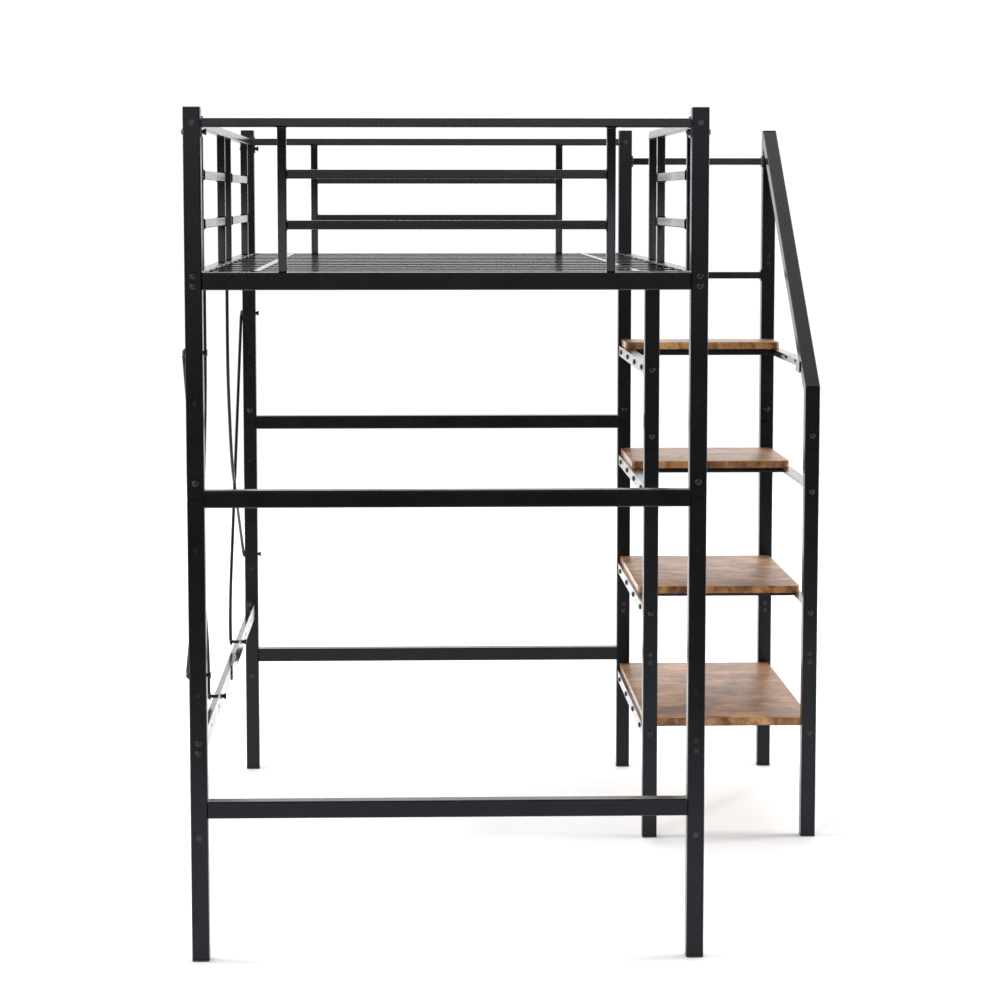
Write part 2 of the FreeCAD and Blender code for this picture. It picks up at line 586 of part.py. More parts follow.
# ---------------------------------------------------------------- long low rail, left side
LOW_LENGTH = f"({HALF_INNER} - {{tab_thick}})"
LOW_BASE = "({low_rail_height} - {low_rail_web} / 2)"
flange, web, thick = "{low_rail_flange}", "{low_rail_web}", "{low_rail_thick}"
LOW_SECTION = {                                 # a web on the inner side, a flange at its foot
    "corners": [("0", "0"), (flange, "0"), (flange, web), (f"{flange} - {thick}", web),
                (f"{flange} - {thick}", thick), ("0", thick)],
    "web_middle": "({low_rail_web} / 2)"}
TAB_TO_ROD = "({rod_reach} - {post_size} / 2 - {tab_thick})"
for end, start, tab_at, slots, rod_at in (
        ("foot", f"{FOOT} + {{post_size}} + {{tab_thick}}", f"{FOOT} + {{post_size}}",
         [f"({{slot_pitch}} * {i})" for i in (1, 2, 4)], TAB_TO_ROD),
        ("head", "0", f"{HEAD} - {{post_size}} - {{tab_thick}}",
         [f"({LOW_LENGTH} - {{slot_pitch}} * {i})" for i in (4, 2, 1)],
         f"{LOW_LENGTH} - {TAB_TO_ROD}")):
    bar = angle_bar(f"left_low_rail_{end}_bar", LOW_LENGTH, LOW_SECTION, slots, [rod_at])
    place(bar, (LEFT, start, LOW_BASE))
    blank = box(f"low_tab_{end}_blank", [flange, "{tab_thick}", web], [LEFT, tab_at, LOW_BASE])
    tab = drilled(blank, f"low_tab_{end}", [(f"{LEFT} + {{post_size}} / 2", z) for z in LOW_PAIR],
                  tab_at, "{tab_thick}", "{hole_size}", "Y")
    node(f"left_low_rail_{end}", [bar, tab])
node("low_rail_splice", [box(
    "low_splice_plate", ["{tab_thick}", "{splice_length}", "{low_rail_web} - 2 * {splice_margin}"],
    [f"{LEFT} + {{low_rail_flange}}", "-{splice_length} / 2", f"{LOW_BASE} + {{splice_margin}}"])])

# ---------------------------------------------------------------- steps
STEP_SPAN = "({stair_depth} - 2 * {post_size})"
STEP_FROM = f"({STAIR_FRONT} + {{post_size}})"
BACK_FACE = f"({HEAD} - {{post_size}})"
ANGLE_LEFT_AT = f"{RIGHT} - {{post_size}} + {{angle_setback}}"
ANGLE_RIGHT_AT = f"{STAIR} - {{angle_setback}} - {{angle_flange}}"
TAB = "{tab_thick}"
TAB_RIGHT_AT = f"{ANGLE_RIGHT_AT} - {{tab_overhang}}"


def step_tab(name, across, along, base):
    """A bolted plate at the end of a step angle."""
    blank = box(name + "_blank", ["{angle_flange} + {tab_overhang}", TAB, "{angle_flange}"],
                [across, along, base])
    middle = STAIR_INNER if "left" in name else STAIR_OUTER
    return drilled(blank, name, [(f"{middle} + {{post_size}} / 2", f"{base} + {{angle_flange}} / 2")],
                   along, TAB, "{hole_size}", "Y")


WEB_BOLTS = 4


def web_bolt_places(length):
    """Distances along an angle of the bolts in its web: the outer two at an inset, the rest even."""
    gap = f"({length} - 2 * {{web_bolt_inset}}) / {WEB_BOLTS - 1}"
    return [f"({{web_bolt_inset}} + {i} * {gap})" for i in range(WEB_BOLTS)]


crossbars = []
for level, top in enumerate(STEP_TOPS, start=1):
    depth = f"({{top_board_depth}} + {STEP_COUNT - level} * {{step_run}})"
    board = doc.addObject("PartDesign::Body", f"step_board_{level}")
    plan = sketch_on(board, f"step_{level}_plan", "XY_Plane")
    board_width = "({stair_reach} + {post_size} - 2 * {board_inset})"
    rectangle(plan, ("0", "0"), (board_width, depth))
    slab = pad(board, plan, f"step_{level}_slab", "{board_thick}")
    doc.recompute()
    front_edges = [f"Edge{n}" for n, edge in enumerate(slab.Shape.Edges, start=1)
                   if edge.BoundBox.ZLength > size("board_thick") / 2
                   and edge.BoundBox.YMax < size("board_corner")]
    rounding = board.newObject("PartDesign::Fillet", f"step_{level}_corners")
    rounding.Base = (slab, front_edges)
    rounding.setExpression("Radius", cell("{board_corner}"))
    # two pilot holes over each side angle, one row near the front edge and one near the back
    pilot_rows = ["{board_screw_inset}", f"({depth} - {{board_screw_inset}})"]
    edge_gap = "({angle_flange} / 2 + {angle_thick} / 2 + {angle_setback} - {board_inset})"
    pilots = sketch_on(board, f"step_{level}_pilots", "XY_Plane")
    for row in pilot_rows:
        for column in (edge_gap, f"({board_width} - {edge_gap})"):
            circle(pilots, column, row, "{screw_size}")
    pilot_cut = board.newObject("PartDesign::Pocket", f"step_{level}_pilot_holes")
    pilot_cut.Profile = pilots
    pilot_cut.Reversed = True
    pilot_cut.setExpression("Length", cell("{screw_depth}"))
    place(board, (f"{STAIR_INNER} + {{board_inset}}", f"{BACK_FACE} - {depth}",
                  f"{top} - {{board_thick}}"))
    node(f"step_board_{level}", [board])

    base = f"({top} - {{board_thick}} - {{angle_flange}})"
    last = level == STEP_COUNT
    members = []
    screw_x = "({angle_flange} / 2 + {angle_thick} / 2)"
    web_bolts = web_bolt_places(f"({STEP_SPAN} - 2 * {TAB})")
    long_rows = [f"({STEP_SPAN} - {TAB} - {depth} + {row})" for row in pilot_rows]
    bar = angle_bar(f"step_angle_left_{level}", f"{STEP_SPAN} - 2 * {TAB}", step_section(1),
                    (), web_bolts, [(screw_x, row) for row in long_rows])
    place(bar, (ANGLE_LEFT_AT, f"{STEP_FROM} + {TAB}", base))
    members.append(bar)
    members.append(step_tab(f"step_tab_left_front_{level}", ANGLE_LEFT_AT, STEP_FROM, base))
    members.append(step_tab(f"step_tab_left_back_{level}", ANGLE_LEFT_AT, f"{BACK_FACE} - {TAB}", base))
    # the top right angle stops under the sloping handrail and reaches it with a lug
    if last:
        below_top = f"({RAIL_TOP} - {top} + {{board_thick}})"
        start = (f"({STAIR_FRONT} + {RUN} - {below_top} / tan({SLOPE})"
                 f" + {{post_size}} / sin({SLOPE}))")
        span = f"({BACK_FACE} - {start})"
        right = angle_bar(
            f"step_angle_right_{level}", f"{span} - {TAB}", step_section(-1),
            (), web_bolt_places(f"({span} - {TAB})"),
            [(f"{{angle_flange}} - {screw_x}", f"({span} - {depth} + {row})")
             for row in pilot_rows])
        place(right, (ANGLE_RIGHT_AT, start, base))
        members.append(right)
        lug_at = f"{STAIR_OUTER} - {TAB}"
        members.append(box("step_lug_plate", [TAB, "{lug_length}", "{angle_flange}"],
                           [lug_at, f"{start} - {{lug_lap}}", base]))
        members.append(box("step_lug_bridge", [f"{ANGLE_RIGHT_AT} - ({STAIR_OUTER})",
                                               "{lug_length} - {lug_lap}", "{angle_thick}"],
                           [STAIR_OUTER, start, f"{base} + {{angle_flange}} - {{angle_thick}}"]))
    else:
        right = angle_bar(f"step_angle_right_{level}", f"{STEP_SPAN} - 2 * {TAB}",
                          step_section(-1), (), web_bolts,
                          [(f"{{angle_flange}} - {screw_x}", row) for row in long_rows])
        place(right, (ANGLE_RIGHT_AT, f"{STEP_FROM} + {TAB}", base))
        members.append(right)
        members.append(step_tab(f"step_tab_right_front_{level}", TAB_RIGHT_AT, STEP_FROM, base))
    members.append(step_tab(f"step_tab_right_back_{level}", TAB_RIGHT_AT,
                            f"{BACK_FACE} - {TAB}", base))
    node(f"step_angles_{level}", members)

    bar_from = f"{ANGLE_LEFT_AT} + {{angle_thick}}"
    bar_length = f"{ANGLE_RIGHT_AT} + {{angle_flange}} - {{angle_thick}} - ({bar_from})"
    crossbars.append(tube(
        f"step_crossbar_{level}", 0, [bar_length, "{step_bar_size}", "{step_bar_size}"],
        [bar_from, f"{BACK_FACE} - {depth} + {{step_bar_setback}}",
         f"{base} + {{angle_flange}} - {{angle_thick}} - {{step_bar_size}}"], "{step_bar_wall}"))
node("step_crossbars", crossbars)

stair_bars = []
for i, height in enumerate(("{stair_bar_upper_height}", "{stair_bar_lower_height}"), start=1):
    along = f"{BACK_FACE} + {GUARD_OFFSET}"
    gap = "({stair_reach} - {post_size})"
    stair_bars.append(tube(
        f"stair_bar_{i}", 0, [f"{gap} - 2 * {TAB}", "{guard_size}", "{guard_size}"],
        [f"{RIGHT} + {TAB}", along, f"{height} - {{guard_size}} / 2"], "{guard_wall}"))
    for j, across in enumerate((RIGHT, f"{STAIR_OUTER} - {TAB}")):
        stair_bars.append(box(
            f"stair_bar_flange_{i}_{j}", [TAB, "{post_size} - 2 * {bar_plate_inset}",
                                          "{guard_size} + 2 * {bar_plate_lip}"],
            [across, f"{BACK_FACE} + {{bar_plate_inset}}",
             f"{height} - {{guard_size}} / 2 - {{bar_plate_lip}}"]))
node("stair_back_bars", stair_bars)

# ---------------------------------------------------------------- pieces built by Part's functions
X, Y, Z = FreeCAD.Vector(1, 0, 0), FreeCAD.Vector(0, 1, 0), FreeCAD.Vector(0, 0, 1)
x_left = (size("rod_size") - size("bed_width") - size("stair_reach")) / 2
x_right = x_left + size("bed_width")
x_stair = x_right + size("stair_reach")
y_foot, y_head = -size("bed_length") / 2, size("bed_length") / 2
y_stair = y_head - size("stair_depth")
half_post = size("post_size") / 2


def feature(label, solids):
    """A sub-part made by Part's functions from values of the sheet."""
    piece = doc.addObject("Part::Feature", label)
    piece.Shape = solids[0] if len(solids) == 1 else Part.makeCompound(solids)
    piece.Placement = FreeCAD.Placement()
    piece.Label = label
    node_objects.append(piece)


def rounded_path(points, radius):
    """Straight runs joined by tangent arcs of one radius."""
    edges, start = [], points[0]
    for before, corner, after in zip(points, points[1:], points[2:]):
        into, out = (corner - before).normalize(), (after - corner).normalize()
        turn = into.getAngle(out)
        reach = radius * math.tan(turn / 2)
        first, second = corner - into * reach, corner + out * reach
        inward = (out - into).normalize()
        centre = corner + inward * (radius / math.cos(turn / 2))
        middle = centre - inward * radius
        edges.append(Part.LineSegment(start, first).toShape())
        edges.append(Part.Arc(first, middle, second).toShape())
        start = second
    edges.append(Part.LineSegment(start, points[-1]).toShape())
    return Part.Wire(edges)


def eye(y, z):
    """A flat ring on the outer side of the left posts and rails, with room for a bolt."""
    thick = size("eye_thick")
    back = FreeCAD.Vector(x_left - thick, y, z)
    disc = Part.makeCylinder(size("eye_size") / 2, thick, back, X)
    hole = Part.makeCylinder(size("hole_size") / 2, 3 * thick, back - X * thick, X)
    head_room = Part.makeCylinder(size("bolt_head_size") / 2 + size("head_clearance"),
                                  size("rod_size"), back - X * size("rod_size"), X)
    return disc, hole, head_room


def brace_rod(y_post, inward, points, radius):
    """A bent round rod on the outer side of the left posts, with a flat eye at both ends.

    points are (distance from the post's middle, height); inward is +1 at the foot post."""
    rod_radius = size("rod_size") / 2
    spots = [FreeCAD.Vector(x_left - rod_radius, y_post + inward * reach, height)
             for reach, height in points]
    path = rounded_path(spots, radius)
    ring = Part.Wire([Part.Circle(spots[0], spots[1] - spots[0], rod_radius).toShape()])
    rod = path.makePipeShell([ring], True, False)
    for spot in (spots[0], spots[-1]):
        disc, hole, head_room = eye(spot.y, spot.z)
        rod = rod.cut(head_room).fuse(disc).cut(hole)
    return rod


deck_middle = size("deck_height")
low_rail_middle = size("low_rail_height")
reach = size("rod_reach")
low, high = size("rod_lower_height"), size("rod_upper_height")
rise, fall = deck_middle - low, high - low_rail_middle
rising_points = [
    (0, low),
    (size("rising_reach_share") * reach, low + size("rising_low_share") * rise),
    (reach, low + size("rising_high_share") * rise),
    (reach, deck_middle)]
falling_points = [
    (0, high),
    (reach, low_rail_middle + size("falling_low_share") * fall),
    (reach, low_rail_middle)]
rod_posts = {"foot": (y_foot + half_post, 1), "head": (y_head - half_post, -1)}
for end, (y_post, inward) in rod_posts.items():
    rising = brace_rod(y_post, inward, rising_points, size("rising_bend"))
    falling = brace_rod(y_post, inward, falling_points, size("falling_bend"))
    feature(f"{end}_rising_rod", [rising])
    feature(f"{end}_falling_rod", falling.cut(rising).Solids)     # welded where the two cross


# Proportions of the small turned shapes.
RIM_SHARE = 0.5                        # straight part of a bolt head's height
CROWN_SHARE = 0.55                     # width left at the top of a bolt head
SOCKET_SHARE = 0.6                     # driving socket, of the shank's radius and head's height
NUT_BODY_SHARE = 0.55                  # straight part of a nut's height
NUT_CROWN_SHARE = 0.4                  # width left at the top of a nut
NUT_BORE_SHARE = 0.6                   # depth of a nut's blind bore


def button_bolt(spot, direction, grip):
    """A round-headed bolt: the head outside spot, the shank grip long along direction."""
    radius, head = size("bolt_size") / 2, size("bolt_head_size") / 2
    height = size("bolt_head_height")
    rim = height * RIM_SHARE
    shank = Part.makeCylinder(radius, grip, spot, direction)
    drum = Part.makeCylinder(head, rim, spot, direction * -1)
    dome = Part.makeCone(head, head * CROWN_SHARE, height - rim, spot - direction * rim,
                         direction * -1)
    socket = Part.makeCylinder(radius * SOCKET_SHARE, height * SOCKET_SHARE,
                               spot - direction * height, direction)
    return shank.fuse(drum).fuse(dome).cut(socket)


def cap_nut(spot, direction):
    """A domed nut that stands on a face at spot and points along direction."""
    radius, height = size("nut_size") / 2, size("nut_height")
    straight = height * NUT_BODY_SHARE
    bore = Part.makeCylinder(size("bolt_size") / 2, height * NUT_BORE_SHARE, spot, direction)
    drum = Part.makeCylinder(radius, straight, spot, direction)
    dome = Part.makeCone(radius, radius * NUT_CROWN_SHARE, height - straight,
                         spot + direction * straight, direction)
    return drum.fuse(dome).cut(bore)


def pair(middle):
    """Two heights one pitch apart about a middle height."""
    half = size("bolt_pair_pitch") / 2
    return (middle - half, middle + half)


step_bolt_heights = [size("first_step_height") + i * size("step_rise") - size("board_thick")
                     - size("angle_flange") / 2 for i in range(STEP_COUNT)]
sleeve_bolt = size("joint_height") + size("sleeve_length") / 4
bracket_bolt = size("guard_top_height") - size("guard_size")
post_size, post_wall, tab = size("post_size"), size("post_wall"), size("tab_thick")
into_nut = size("nut_height") / 2                                  # thread inside a cap nut
bolts, nuts, plugs = [], [], []

# bolts along Y through the posts, heads on the faces that point away from the bed
for x in (x_left + half_post, x_right - half_post):
    for y, direction in ((y_foot, Y), (y_head, Y * -1)):
        for z in pair(size("deck_height")):
            bolts.append(button_bolt(FreeCAD.Vector(x, y, z), direction,
                                     post_size + size("end_plate_thick") + size("bolt_past")))
for y, direction in ((y_foot, Y), (y_head, Y * -1)):
    for z in pair(size("low_rail_height")):
        spot = FreeCAD.Vector(x_left + half_post, y, z)
        bolts.append(button_bolt(spot, direction, post_size + tab + into_nut))
        nuts.append(cap_nut(spot + direction * (post_size + tab), direction))

stair_x = (x_right - half_post, x_stair - half_post)
for i, z in enumerate(step_bolt_heights):
    for x in stair_x:
        faces = [(y_head, Y * -1)]
        if i < STEP_COUNT - 1 or x < x_right:
            faces.append((y_stair, Y))
        for y, direction in faces:
            spot = FreeCAD.Vector(x, y, z)
            bolts.append(button_bolt(spot, direction, post_size + tab + into_nut))
            nuts.append(cap_nut(spot + direction * (post_size + tab), direction))

# bolts along the webs of the step angles: nuts inside the left ones, the right ones tapped
rail_top, rail_run = size("bed_height") - size("cap_thick"), size("stair_depth") - post_size
slope = math.atan((rail_top - size("kink_height")) / rail_run)
board_under = (size("first_step_height") + (STEP_COUNT - 1) * size("step_rise")
               - size("board_thick"))
short_start = (y_stair + rail_run - (rail_top - board_under) / math.tan(slope)
               + post_size / math.sin(slope))
web, web_inset = size("angle_thick"), size("web_bolt_inset")
left_web = x_right - post_size + size("angle_setback")
right_web = x_stair - size("angle_setback") - web
full_start, web_end = y_stair + post_size + tab, y_head - post_size - tab
for i, z in enumerate(step_bolt_heights):
    for x, start in ((left_web, full_start),
                     (right_web, full_start if i < STEP_COUNT - 1 else short_start)):
        gap = (web_end - start - 2 * web_inset) / (WEB_BOLTS - 1)
        for k in range(WEB_BOLTS):
            spot = FreeCAD.Vector(x, start + web_inset + k * gap, z)
            if x == left_web:
                bolts.append(button_bolt(spot, X, web + into_nut))
                nuts.append(cap_nut(spot + X * web, X))
            else:
                bolts.append(button_bolt(spot, X, web))

# one bolt holds each post to the sleeve inside its joint
sleeve_grip = post_wall + size("sleeve_wall") + size("sleeve_bolt_past")
for x, y, direction in [(x_left + half_post, y_foot, Y), (x_right - half_post, y_foot, Y),
                        (x_left + half_post, y_head - post_size, Y),
                        (x_right - half_post, y_head - post_size, Y),
                        (x_right - half_post, y_stair, Y), (x_stair - half_post, y_stair, Y),
                        (x_stair - half_post, y_head - post_size, Y)]:
    bolts.append(button_bolt(FreeCAD.Vector(x, y, sleeve_bolt), direction, sleeve_grip))

# bolts along X: guard brackets and brace rods
thick = size("bracket_thick")
for x, y, direction in ((x_left, y_foot + half_post, X), (x_left, y_head - half_post, X),
                        (x_right, y_foot + half_post, X * -1)):
    spot = FreeCAD.Vector(x, y, bracket_bolt)
    bolts.append(button_bolt(spot, direction, post_size + thick + into_nut))
    nuts.append(cap_nut(spot + direction * (post_size + thick), direction))
ring, flange = size("eye_thick"), size("low_rail_flange")
for y_post, inward in rod_posts.values():
    for z in (low, high):
        spot = FreeCAD.Vector(x_left - ring, y_post, z)
        bolts.append(button_bolt(spot, X, post_size + ring + into_nut))
        nuts.append(cap_nut(spot + X * (post_size + ring), X))
    y = y_post + inward * reach
    bolts.append(button_bolt(FreeCAD.Vector(x_left - ring, y, deck_middle), X,
                             ring + size("rod_bolt_depth")))
    spot = FreeCAD.Vector(x_left - ring, y, low_rail_middle)
    bolts.append(button_bolt(spot, X, flange + ring + into_nut))
    nuts.append(cap_nut(spot + X * (flange + ring), X))


def plug(spot, direction):
    """A low round plug that closes an unused hole; direction points into the post."""
    height, radius = size("plug_rim"), size("plug_size") / 2
    rim = Part.makeCylinder(radius, height, spot, direction * -1)
    dome = Part.makeCone(radius, radius / 2, size("plug_dome"), spot - direction * height,
                         direction * -1)
    stem = Part.makeCylinder(size("hole_size") / 2, post_wall, spot, direction)
    return rim.fuse(dome).fuse(stem)


# holes that carry no bolt are closed on both faces of the post
low_pair, deck_pair = pair(size("low_rail_height")), pair(size("deck_height"))
unused_holes = [
    (x_left + half_post, y_foot, step_bolt_heights),
    (x_left + half_post, y_head - post_size, step_bolt_heights),
    (x_right - half_post, y_foot, [*step_bolt_heights, *low_pair]),
    (x_right - half_post, y_head - post_size, low_pair),
    (stair_x[0], y_stair, low_pair),
    (stair_x[1], y_stair, low_pair),
    (stair_x[1], y_head - post_size, [*low_pair, *deck_pair])]
for x, y, levels in unused_holes:
    for z in levels:
        plugs.append(plug(FreeCAD.Vector(x, y, z), Y))
        plugs.append(plug(FreeCAD.Vector(x, y + post_size, z), Y * -1))

# the top hole of a corner post is closed on every face that no guard bracket covers
for x, y, faces in ((x_left + half_post, y_foot, (-1,)), (x_right - half_post, y_foot, (-1,)),
                    (x_left + half_post, y_head - post_size, (1,)),
                    (x_right - half_post, y_head - post_size, (-1, 1))):
    for face in faces:
        spot = FreeCAD.Vector(x, y + (post_size if face > 0 else 0), size("guard_top_height"))
        plugs.append(plug(spot, Y * -face))

feature("frame_bolts", bolts)
feature("cap_nuts", nuts)
feature("hole_plugs", plugs)


def screw(spot, direction, depth):
    """A flat-headed screw whose head lies on a face at spot."""
    head = Part.makeCylinder(size("screw_head_size") / 2, size("screw_head_height"), spot,
                             direction * -1)
    radius = (size("screw_size") - size("screw_gap")) / 2
    return head.fuse(Part.makeCylinder(radius, depth, spot, direction))


# screws through the slats' ends into the ledges, and up through the angles into the boards
deck_top = size("deck_height") + size("rail_size") / 2
ledge_middle = size("rail_size") + size("ledge_width") / 2
slat_step = (size("bed_length") - 2 * post_size) / slat_total
slat_screws = [screw(FreeCAD.Vector(x, y_foot + post_size + (i + 1 / 2) * slat_step, deck_top),
                     Z * -1, size("slat_height") + size("ledge_thick"))
               for i in range(slat_total) for x in (x_left + ledge_middle, x_right - ledge_middle)]
feature("slat_screws", slat_screws)

board_screws = []
grip = size("angle_thick") + size("screw_depth") - size("screw_tip_gap")
angle_middle = size("angle_flange") / 2 + size("angle_thick") / 2 + size("angle_setback")
for level in range(1, STEP_COUNT + 1):
    board_depth = size("top_board_depth") + (STEP_COUNT - level) * size("step_run")
    under = (size("first_step_height") + (level - 1) * size("step_rise") - size("board_thick")
             - size("angle_thick"))
    inset = size("board_screw_inset")
    for back in (inset, board_depth - inset):
        for x in (x_right - post_size + angle_middle, x_stair - angle_middle):
            board_screws.append(screw(FreeCAD.Vector(x, y_head - post_size - back, under), Z, grip))
feature("board_screws", board_screws)

# ---------------------------------------------------------------- check and write
doc.recompute()
for thing in doc.Objects:
    if any(word in thing.State for word in ("Invalid", "Error")):
        raise RuntimeError(f"{thing.Name} failed: {thing.State}")
for piece in node_objects:
    shape = piece.Shape
    if shape.isNull() or not shape.isValid():
        raise RuntimeError(f"{piece.Label} has no valid shape")
os.makedirs("parts", exist_ok=True)
for piece in node_objects:
    piece.Shape.exportStep(f"parts/{piece.Label}.step")
    print(f"{piece.Label}: {len(piece.Shape.Solids)} solids, {piece.Shape.Volume / 1000:.1f} cm3")
print(len(node_objects), "nodes")
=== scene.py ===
"""Looks of a steel loft bed with a step stair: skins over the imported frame, finishes, light and view."""
import logging
import math
from dataclasses import dataclass
from enum import Enum

import bpy
import numpy as np
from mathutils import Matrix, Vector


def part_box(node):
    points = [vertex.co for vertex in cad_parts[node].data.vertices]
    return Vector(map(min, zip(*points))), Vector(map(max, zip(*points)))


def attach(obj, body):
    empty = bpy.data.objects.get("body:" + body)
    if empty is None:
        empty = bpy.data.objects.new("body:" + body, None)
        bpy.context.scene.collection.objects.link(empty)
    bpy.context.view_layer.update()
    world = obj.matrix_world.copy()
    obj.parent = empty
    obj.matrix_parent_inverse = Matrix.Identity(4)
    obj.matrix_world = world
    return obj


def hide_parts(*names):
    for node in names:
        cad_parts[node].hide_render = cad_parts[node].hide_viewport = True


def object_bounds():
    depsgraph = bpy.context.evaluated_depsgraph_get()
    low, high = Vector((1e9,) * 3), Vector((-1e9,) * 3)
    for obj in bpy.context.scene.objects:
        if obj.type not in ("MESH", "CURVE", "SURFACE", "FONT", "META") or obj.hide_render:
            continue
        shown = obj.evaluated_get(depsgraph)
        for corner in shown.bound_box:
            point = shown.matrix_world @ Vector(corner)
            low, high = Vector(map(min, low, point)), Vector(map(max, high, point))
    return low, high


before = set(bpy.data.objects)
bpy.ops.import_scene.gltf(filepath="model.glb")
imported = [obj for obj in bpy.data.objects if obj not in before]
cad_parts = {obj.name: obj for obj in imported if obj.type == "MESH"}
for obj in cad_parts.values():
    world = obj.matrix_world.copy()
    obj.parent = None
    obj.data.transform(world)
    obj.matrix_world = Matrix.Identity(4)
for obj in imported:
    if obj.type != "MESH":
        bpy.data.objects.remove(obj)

LOG = logging.getLogger("loft_bed")
MM = 0.001
CAD_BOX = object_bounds()

# how far the guards' uprights stand from the end of their guard
END_INSET = 150 * MM                    # guards across the bed, both uprights
SIDE_INSET = 147 * MM                   # side guards, the upright beside a bed post
SIDE_MIDDLE = 101 * MM                  # left guards, the upright beside the bed's middle
STAIR_OPENING = 222.5 * MM              # right guard, the upright before the last one


class Axis(Enum):
    """The row axis that a tube, bolt or bar runs along."""

    X = 0
    Y = 1
    Z = 2

    def basis(self) -> tuple[np.ndarray, np.ndarray, np.ndarray]:
        """Unit vectors along the axis and across it, right-handed in the order across, up, along."""
        eye = np.eye(3)
        return eye[self.value], eye[(self.value + 1) % 3], eye[(self.value + 2) % 3]


# ------------------------------------------------------------------ finishes
class Nodes:
    """A small writer of shader nodes."""

    # places of a Mix node's colour sockets, which share their names with its other sockets
    COLOUR_A = 6
    COLOUR_B = 7
    COLOUR_OUT = 2

    def __init__(self, name: str) -> None:
        """Start a material with an empty tree, an output and a principled shader."""
        self.material = bpy.data.materials.new(name)
        self.material.use_nodes = True
        self.tree = self.material.node_tree
        self.tree.nodes.clear()
        output = self.add("ShaderNodeOutputMaterial")
        self.shader = self.add("ShaderNodeBsdfPrincipled")
        self.link(self.shader.outputs["BSDF"], output.inputs["Surface"])

    def add(self, kind: str, **settings: object) -> bpy.types.ShaderNode:
        """Add a node of a kind, with its own settings and the values of its named sockets.

        Args:
            kind: the node's type name.
            settings: attributes of the node; a name that is no attribute is a socket's.
        Returns:
            The new node.
        """
        node = self.tree.nodes.new(kind)
        for key, value in settings.items():
            if hasattr(node, key):
                setattr(node, key, value)
            else:
                node.inputs[key.replace("_", " ")].default_value = value
        return node

    def link(self, output: bpy.types.NodeSocket, target: bpy.types.NodeSocket) -> None:
        """Join an output socket to an input socket."""
        self.tree.links.new(output, target)

    def place(self, scale: tuple[float, float, float] = (1.0, 1.0, 1.0)) -> bpy.types.NodeSocket:
        """Object coordinates, multiplied by a scale along each axis.

        Args:
            scale: factors along X, Y and Z; a small one draws the pattern out along its axis.
        Returns:
            The coordinates.
        """
        coordinates = self.add("ShaderNodeTexCoord")
        mapping = self.add("ShaderNodeMapping")
        mapping.inputs["Scale"].default_value = scale
        self.link(coordinates.outputs["Object"], mapping.inputs["Vector"])
        return mapping.outputs["Vector"]

    def noise(self, vector: bpy.types.NodeSocket, scale: float, detail: float = 4.0,
              distortion: float = 0.0) -> bpy.types.NodeSocket:
        """A noise pattern.

        Args:
            vector: where the pattern is read.
            scale: how many grains fit in a metre.
            detail: how many finer layers are added.
            distortion: how far the grains are smeared.
        Returns:
            Its value, 0 to 1.
        """
        node = self.add("ShaderNodeTexNoise")
        node.inputs["Scale"].default_value = scale
        node.inputs["Detail"].default_value = detail
        node.inputs["Distortion"].default_value = distortion
        self.link(vector, node.inputs["Vector"])
        return node.outputs["Fac"]

    def ramp(self, value: bpy.types.NodeSocket,
             stops: list[tuple[float, tuple[float, float, float]]]) -> bpy.types.NodeSocket:
        """Colours along a value.

        Args:
            value: the pattern that picks the colour.
            stops: places from 0 to 1, each with its colour.
        Returns:
            The colour.
        """
        node = self.add("ShaderNodeValToRGB")
        band = node.color_ramp
        while len(band.elements) < len(stops):
            band.elements.new(0.5)
        for element, (place, colour) in zip(band.elements, stops):
            element.position = place
            element.color = (*colour, 1.0)
        self.link(value, node.inputs["Fac"])
        return node.outputs["Color"]

    def spread(self, value: bpy.types.NodeSocket, low: float, high: float,
               start: float = 0.3, end: float = 0.7) -> bpy.types.NodeSocket:
        """A value's range stretched onto another range.

        Args:
            value: the pattern.
            low: what start becomes.
            high: what end becomes.
            start: lower end of the part of the pattern that counts.
            end: upper end of it.
        Returns:
            The new value, held between low and high.
        """
        node = self.add("ShaderNodeMapRange")
        node.inputs["From Min"].default_value = start
        node.inputs["From Max"].default_value = end
        node.inputs["To Min"].default_value = low
        node.inputs["To Max"].default_value = high
        self.link(value, node.inputs["Value"])
        return node.outputs["Result"]

    def mix(self, share: bpy.types.NodeSocket | float, first: bpy.types.NodeSocket,
            second: bpy.types.NodeSocket, blend: str = "MIX") -> bpy.types.NodeSocket:
        """Two colours mixed by a share, which is a pattern or a plain number.

        Args:
            share: how much of the second colour shows, 0 to 1.
            first: the colour at share 0.
            second: the colour at share 1.
            blend: how the second colour is laid over the first.
        Returns:
            The mixed colour.
        """
        node = self.add("ShaderNodeMix", data_type="RGBA", blend_type=blend)
        if isinstance(share, float):
            node.inputs["Factor"].default_value = share
        else:
            self.link(share, node.inputs["Factor"])
        self.link(first, node.inputs[self.COLOUR_A])
        self.link(second, node.inputs[self.COLOUR_B])
        return node.outputs[self.COLOUR_OUT]

    def bump(self, height: bpy.types.NodeSocket, distance: float, strength: float = 1.0) -> None:
        """Put relief on the shader's normal.

        Args:
            height: the pattern of the relief.
            distance: its depth in metres.
            strength: how much of it shows, 0 to 1.
        """
        node = self.add("ShaderNodeBump")
        node.inputs["Strength"].default_value = strength
        node.inputs["Distance"].default_value = distance
        self.link(height, node.inputs["Height"])
        self.link(node.outputs["Normal"], self.shader.inputs["Normal"])


